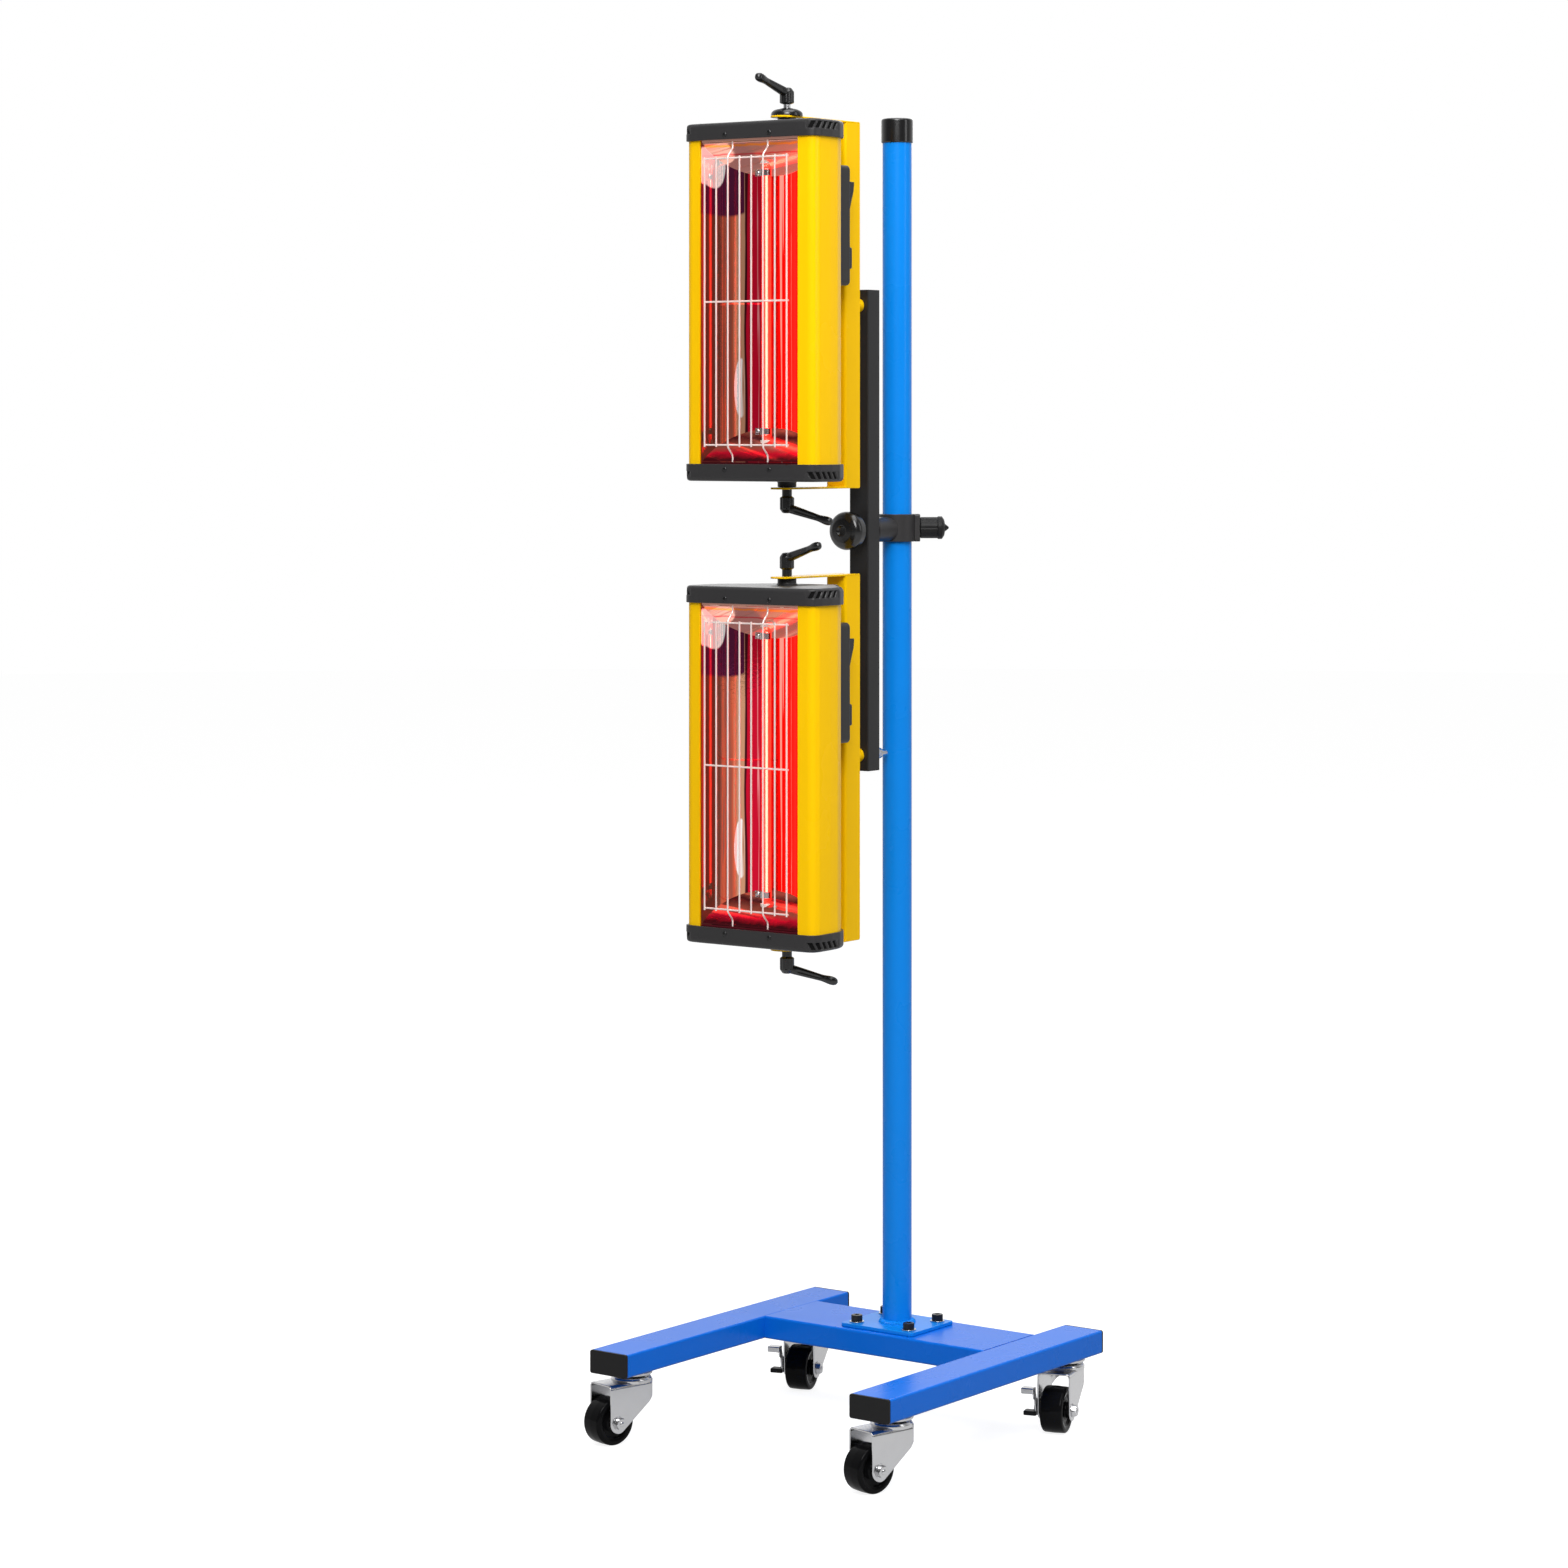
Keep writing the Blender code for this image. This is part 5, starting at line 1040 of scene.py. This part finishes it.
clip_path = soften(CLIP_PATH, 0.0040, closed=False)
for word, pivot in heads:
    centre, extent = middle_of(word + "_lamp")
    end = extent[2] / 2
    seat, glass = end - SEAT_SETBACK, end - TUBE_SETBACK
    tip, taper = glass + TUBE_TAPER, glass - TUBE_TAPER
    half_tube = [(0, tip), (TUBE_PINCH_RADIUS, tip), (TUBE_RADIUS, taper)]
    pinched = [(radius, -height) for radius, height in half_tube] + half_tube[::-1]
    tube = turned(soften(pinched, TUBE_BEND, closed=False, steps=6), centre, UP, 48)
    fitted(word + "_quartz_tube", [tube], quartz, "lamp_glass", word + "_head", word + "_lamp")
    coil_end = glass - COIL_SETBACK
    along = np.linspace(-coil_end, coil_end, int(2 * coil_end / COIL_PITCH) * COIL_STEPS)
    phase = 2 * np.pi * along / COIL_PITCH
    out = np.stack([np.cos(phase), np.sin(phase), 0 * phase], 1)
    middle = COIL_RADIUS * out + along[:, None] * UP
    angle = full_turn(6)[:, None]
    strand = centre + middle[:, None] + COIL_WIRE * (np.cos(angle) * out[:, None] + np.sin(angle) * UP)
    fitted(word + "_tungsten_coil", [strand], glow, "lamp_glass", word + "_head")
    for name, way in ENDS:
        section = profile(0.0006, (
            (0, glass - 0.001, 0), (CERAMIC_RADIUS, glass - 0.001, 1), (CERAMIC_RADIUS, seat, 1),
            (PIN_RADIUS, seat, 0.5), (PIN_RADIUS, end, 1), (0, end, 0),
        ))
        fitted(word + "_" + name + "_lamp_ceramic", [turned(section, centre, way * UP, 48)],
               ceramic, "lamp_glass", word + "_head")
        foot = centre + way * (glass - CLIP_SETBACK) * UP
        clip = slab(sheet_section(clip_path, CLIP_SHEET), -CLIP_HALF_WIDTH, CLIP_HALF_WIDTH, 0.0002,
                    (foot, RIGHT, -BACK, way * UP), 2)
        screw_foot = foot + CLIP_SCREW_X * RIGHT - CLIP_SHEET * BACK
        screw = turned(profile(0.0008, CLIP_SCREW_SECTION), screw_foot, -BACK, 32)
        fitted(word + "_" + name + "_lamp_clip", [clip, screw], zinc, "zinc", word + "_head")

# Wire guards: eight upright chromed wires spot-welded onto three cross wires. The
# third and the sixth are bent back at both ends and hook into the caps.
WIRES = 8
HOOKED_WIRES = (2, 5)
WIRE_RADIUS = 0.0010
WIRE_SPACING = 0.0153
WIRE_FORWARD = 0.0730
WIRE_HALF_LENGTH = 0.1520
WIRE_BEND = 0.0060
CROSS_BACK = 0.0016
CROSS_SETBACK = 0.002
HOOK_BACK = 0.0085
HOOK_RISE = 0.0090
HOOK_TIP = 0.1847
PLATED = (0.95, 0.82, 0.78)
chrome = finish("bright_plated_wire", PLATED, 0.24, metallic=0.35, cloud=(40, 0.05), grain=(900, 0.03))

for word, pivot in heads:
    wires = []
    for number in range(WIRES):
        x = (number - (WIRES - 1) / 2) * WIRE_SPACING
        upright = [(x, -WIRE_FORWARD, z) for z in (-WIRE_HALF_LENGTH, 0, WIRE_HALF_LENGTH)]
        if number in HOOKED_WIRES:
            back = HOOK_BACK - WIRE_FORWARD
            hook = [upright[-1], (x, back, WIRE_HALF_LENGTH + HOOK_RISE), (x, back, HOOK_TIP)]
            upright = [(x, y, -z) for x, y, z in hook[::-1]] + upright[1:2] + hook
        path = soften(upright, WIRE_BEND, closed=False, steps=6)
        wires.append(wire(pivot + path, WIRE_RADIUS, RIGHT))
    reach = (WIRES - 1) / 2 * WIRE_SPACING + WIRE_RADIUS
    for z in (CROSS_SETBACK - WIRE_HALF_LENGTH, 0, WIRE_HALF_LENGTH - CROSS_SETBACK):
        path = np.array([(x, CROSS_BACK - WIRE_FORWARD, z) for x in np.linspace(-reach, reach, 5)])
        wires.append(wire(pivot + path, WIRE_RADIUS, UP))
    fitted(word + "_welded_guard", wires, chrome, "guard_chrome", word + "_head", word + "_wire_guard")

# Switch boxes: charcoal moulded box screwed to the housing's back, with a sunk
# window for the rocker and a block for the cable gland below it.
BOX_CORNER = 0.0050
BOX_EDGE = 0.0018
BOX_DEPTH = 0.0240
BOX_STEP = 0.0010
WINDOW_DEPTH = 0.0085
CUT_ABOVE = 0.01
WINDOW_HALF_WIDTH = 0.0093
WINDOW_HALF_HEIGHT = 0.0175
WINDOW_CORNER = 0.0010
ROCKER_X = 0.0270
ROCKER_HEIGHT = 0.1140
BLOCK_HALF_WIDTH = 0.0090
BLOCK_HALF_HEIGHT = 0.0115
BLOCK_CORNER = 0.0020
BLOCK_EDGE = 0.0010
BLOCK_DEPTH = 0.0060
BLOCK_HEIGHT = 0.0485

for word, pivot in heads:
    low, high = np.array(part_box(word + "_switch_box"))
    centre, extent = (low + high) / 2, high - low
    outline = evenly(soften(rectangle(extent[0], extent[2]), BOX_CORNER), BOX_STEP)
    face = (centre + ROCKER_X * RIGHT) * (1, 0, 0) + (low[1] + BOX_DEPTH) * BACK
    block_at = (face + (pivot[2] + BLOCK_HEIGHT) * UP, RIGHT, UP, BACK)
    block_outline = soften(rectangle(2 * BLOCK_HALF_WIDTH, 2 * BLOCK_HALF_HEIGHT), BLOCK_CORNER)
    block = slab(block_outline, -BLOCK_EDGE, BLOCK_DEPTH, BLOCK_EDGE, block_at)
    fitted(word + "_gland_block", [block], charcoal, "cap_charcoal", word + "_head")
    shell = slab(outline, 0, BOX_DEPTH, BOX_EDGE, (centre * (1, 0, 1) + low * BACK, RIGHT, UP, BACK), 6)
    node = word + "_switch_box"
    piece = fitted(node + "_moulding", [shell], charcoal, "cap_charcoal", word + "_head", node)
    window = soften(rectangle(2 * WINDOW_HALF_WIDTH, 2 * WINDOW_HALF_HEIGHT), WINDOW_CORNER)
    at = (face + (pivot[2] + ROCKER_HEIGHT) * UP, RIGHT, UP, BACK)
    walls = np.stack([laid(window, z, at) for z in (-WINDOW_DEPTH, CUT_ABOVE)])
    cutter = skin(word + "_window_cutter", walls)
    opening = piece.modifiers.new("rocker window", "BOOLEAN")
    opening.object = cutter
    opening.solver = "EXACT"
    piece.modifiers.move(1, 0)
    bpy.context.view_layer.update()
    finished = bpy.data.meshes.new_from_object(piece.evaluated_get(bpy.context.evaluated_depsgraph_get()))
    piece.modifiers.clear()
    piece.data = finished
    bpy.data.objects.remove(cutter)

# Rockers: glossy black rocker with a dished face and rounded ends, rocking in the
# window of the switch box.
ROCKER_HALF_WIDTH = 0.0090
ROCKER_CORNER = 0.0012
ROCKER_EDGE = 0.0006
ROCKER_FACE = (
    (0.0100, 0.0157), (0.0088, 0.0060), (0.0048, -0.0050), (0.0012, -0.0157), (-0.0070, -0.0145),
    (-0.0070, 0.0000), (0.0, 0.0157),
)

rocker_face = soften(ROCKER_FACE, ROCKER_CORNER, steps=5)
for word, pivot in heads:
    foot = pivot * (1, 0, 1) + ROCKER_X * RIGHT + (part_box(word + "_switch_box")[0][1] + BOX_DEPTH) * BACK
    at = (foot + ROCKER_HEIGHT * UP, BACK, UP, RIGHT)
    key = slab(rocker_face, -ROCKER_HALF_WIDTH, ROCKER_HALF_WIDTH, ROCKER_EDGE, at)
    fitted(word + "_rocker_key", [key], black_gloss, "black_plastic", word + "_rocker", word + "_rocker")

# Clamping levers: black nylon levers with a ribbed hub and a waisted arm with a
# swelling at its end, on steel studs. The topmost stands on a domed disc.
HUB_RADIUS = 0.0077
HUB_TOP = 0.0250
HUB_RIBS = 9
RIB_DEPTH = 0.07
NECK_RADIUS = 0.0053
RAISED_NECK_RADIUS = 0.0036
NECK_HEIGHT = 0.0080
ARM_LENGTH = 0.0560
ARM_RADIUS = 0.0049
ARM_ROOT = 0.0190
ARM_SLOPE = np.radians(16.0)
ARM_SWELLS = np.array((
    (0.0, 1.0), (0.12, 1.04), (0.20, 1.0), (0.45, 0.88), (0.68, 0.76), (0.76, 0.84), (0.84, 1.0),
    (0.92, 0.96), (0.97, 0.72), (1.0, 0.0),
))
ARM_SQUARENESS = 2.8
ARM_NARROWING = 0.93
GROOVE_DEPTH = 0.16
STUD_RADIUS = 0.0039
STUD_LENGTH = 0.0100
DISC_RADIUS = 0.0170
DISC_BORE = 0.0041
DISC_HEIGHT = 0.0080
DISC_CROWN = 0.0062
DISC_RIM = 0.0010
LEVERS = (
    ("upper_top_lever", -90.0, 1, 0.0050), ("upper_bottom_lever", 10.0, -1, 0.0),
    ("lower_top_lever", -13.0, 1, 0.0), ("lower_bottom_lever", 36.5, -1, 0.0),
)
NYLON = (0.008, 0.008, 0.0085)
black_nylon = finish("black_nylon", NYLON, 0.24, shine=0.60, cloud=(60, 0.1), grain=(1500, 0.16))

share = np.linspace(0, 1, 57)
swell = np.interp(share, *ARM_SWELLS.T)
swell[1:-6] = np.convolve(swell, np.ones(5) / 5, "same")[1:-6]
swell[-6:] = swell[-7] * np.sqrt(np.maximum(1 - ((share[-6:] - share[-7]) / (1 - share[-7])) ** 2, 0))
across, over = np.abs(np.cos(full_turn(48))), np.abs(np.sin(full_turn(48)))
square = (across ** ARM_SQUARENESS + over ** ARM_SQUARENESS) ** (-1 / ARM_SQUARENESS)
groove = 1 - GROOVE_DEPTH * within(share, 0.16, 0.70, 0.06)[:, None] * across ** 8
ribs = 1 - RIB_DEPTH * (0.5 - 0.5 * np.cos(HUB_RIBS * full_turn(108))) ** 2
for (node, heading, way, lift) in LEVERS:
    pivot = dict(heads)[node.split("_")[0]]
    half = middle_of(node.split("_")[0] + "_bracket")[1][2] / 2
    foot = pivot + way * (half + lift + GAP) * UP
    neck = RAISED_NECK_RADIUS if lift else NECK_RADIUS
    section = profile(0.0010, (
        (0, 0, 0), (neck, 0, 0.4), (neck, NECK_HEIGHT - 0.0010, 0.5), (HUB_RADIUS, NECK_HEIGHT + 0.0006, 1.2),
        (HUB_RADIUS, HUB_TOP - 0.0045, 3), (HUB_RADIUS * 0.62, HUB_TOP - 0.0004, 2.5), (0.0030, HUB_TOP, 0.2),
        (0.0028, HUB_TOP - 0.0010, 0.1), (0, HUB_TOP - 0.0010, 0),
    ))
    ribbed = (section[:, :1] > HUB_RADIUS * 0.99) & (section[:, 1:] > NECK_HEIGHT)
    hub = turned(section, foot, way * UP, 108, np.where(ribbed, ribs, 1.0))
    out = np.cos(np.radians(heading)) * RIGHT + np.sin(np.radians(heading)) * BACK
    arm_way = np.cos(ARM_SLOPE) * out + way * np.sin(ARM_SLOPE) * UP
    section = np.stack([ARM_RADIUS * ARM_NARROWING * swell, ARM_LENGTH * share], 1)
    arm = turned(section, foot + way * ARM_ROOT * UP, arm_way, 48, square * groove)
    fitted(node + "_moulding", [hub, arm], black_nylon, "black_plastic", node, node)
    top = NECK_HEIGHT * 0.9 if lift else GAP
    section = ((0, -STUD_LENGTH), (STUD_RADIUS, -STUD_LENGTH), (STUD_RADIUS, top), (0, top))
    fitted(node + "_stud", [turned(section, foot, way * UP, 48)], zinc, "zinc", node)

centre, extent = middle_of("upper_pivot_disc")
sweep = np.linspace(0, np.pi / 2, 14)
dome = np.stack([
    DISC_CROWN + (DISC_RADIUS - DISC_CROWN) * np.sin(sweep),
    DISC_RIM + (DISC_HEIGHT - DISC_RIM) * np.cos(sweep) ** 0.9,
], 1)
section = np.vstack([(DISC_BORE, 0), (DISC_BORE, DISC_HEIGHT), dome, (DISC_RADIUS, 0)])
fitted("upper_domed_disc", [(turned(section, centre - extent[2] / 2 * UP, UP, 96), "loop")],
       black_gloss, "black_plastic", "upper_bracket", "upper_pivot_disc")

# Studio: pale floor, white all round the object for the camera, for gloss and for
# glass, and softboxes near the camera, to its right, overhead and behind.
FLOOR = (0.36, 0.36, 0.36)
FLOOR_RADIUS = 14.0
FLOOR_WHITE = 0.88
FLOOR_GLOSS = 0.45
WHITE = (1, 1, 1, 1)
AMBIENT = 0.30
DARK_SIDE = 0.12
AIM_HEIGHT = 0.75
SOFTBOXES = (
    ("key_softbox", -2.0, 36.0, 3.2, 1.3, 1.6, 80.0),
    ("right_softbox", 66.0, 24.0, 3.2, 0.5, 2.2, 12.0),
    ("top_softbox", 10.0, 78.0, 3.0, 2.4, 2.4, 66.0),
    ("back_softbox", 176.0, 30.0, 3.2, 1.8, 1.8, 16.0),
)


def seen(tree):
    """One for rays from the camera, from gloss and through glass, and nothing for the rest."""
    total = camera_ray = made(tree, "LightPath", "Is Camera Ray", {})
    for ray in ("Is Glossy Ray", "Is Transmission Ray"):
        total = made(tree, "Math", "Value", {0: total, 1: camera_ray.node.outputs[ray]}, operation="MAXIMUM")
    return total


scene = bpy.context.scene
scene.view_settings.view_transform = "Standard"
angle = full_turn(96)
ring = np.stack([np.cos(angle), np.sin(angle), 0 * angle], 1)
floor = skin("studio_floor", (np.stack([pole_axis + FLOOR_RADIUS * ring, pole_axis + 0 * ring]), "open"))
floor_paint = finish("studio_floor_paint", FLOOR, 0.9, shine=0.0, cloud=(2, 0.0), grain=(40, 0.0))
tree = floor_paint.node_tree
white = made(tree, "Math", "Value", {
    0: made(tree, "LightPath", "Is Camera Ray", {}), 1: FLOOR_WHITE - FLOOR_GLOSS, 2: FLOOR_GLOSS,
}, operation="MULTIPLY_ADD")
lift = made(tree, "Math", "Value", {0: seen(tree), 1: white}, operation="MULTIPLY")
wired(tree.nodes["Principled BSDF"], {"Emission Color": WHITE, "Emission Strength": lift})
floor.data.materials.append(floor_paint)

world = bpy.data.worlds.new("studio_white")
scene.world = world
world.use_nodes = True
tree = world.node_tree
towards = (np.sin(CAMERA_TURN), -np.cos(CAMERA_TURN), 0)
facing = made(tree, "VectorMath", "Value", {
    0: made(tree, "TexCoord", "Generated", {}), 1: towards}, operation="DOT_PRODUCT")
glossy = made(tree, "MapRange", "Result", {
    "From Min": -0.75, "From Max": 0.2, "To Min": 1.0, "To Max": DARK_SIDE, "Value": facing})
from_camera = made(tree, "LightPath", "Is Camera Ray", {})
plain = made(tree, "Mix", "Result", {"Factor": from_camera, "A": glossy, "B": 1.0})
level = made(tree, "Mix", "Result", {"Factor": seen(tree), "A": AMBIENT, "B": plain})
wired(tree.nodes["Background"], {"Strength": level, "Color": WHITE})

for name, round_from_camera, height_angle, away, width, height, power in SOFTBOXES:
    angle = CAMERA_TURN - np.pi / 2 + np.radians(round_from_camera)
    lean = np.radians(height_angle)
    way = np.array((np.cos(angle) * np.cos(lean), np.sin(angle) * np.cos(lean), np.sin(lean)))
    light = bpy.data.lights.new(name, "AREA")
    light.shape = "RECTANGLE"
    light.size, light.size_y = width, height
    light.energy = power
    lamp = bpy.data.objects.new(name, light)
    lamp.location = pole_axis + AIM_HEIGHT * UP + away * way
    lamp.rotation_euler = (np.pi / 2 - lean, 0, angle + np.pi / 2)
    lamp.visible_camera = False
    scene.collection.objects.link(lamp)
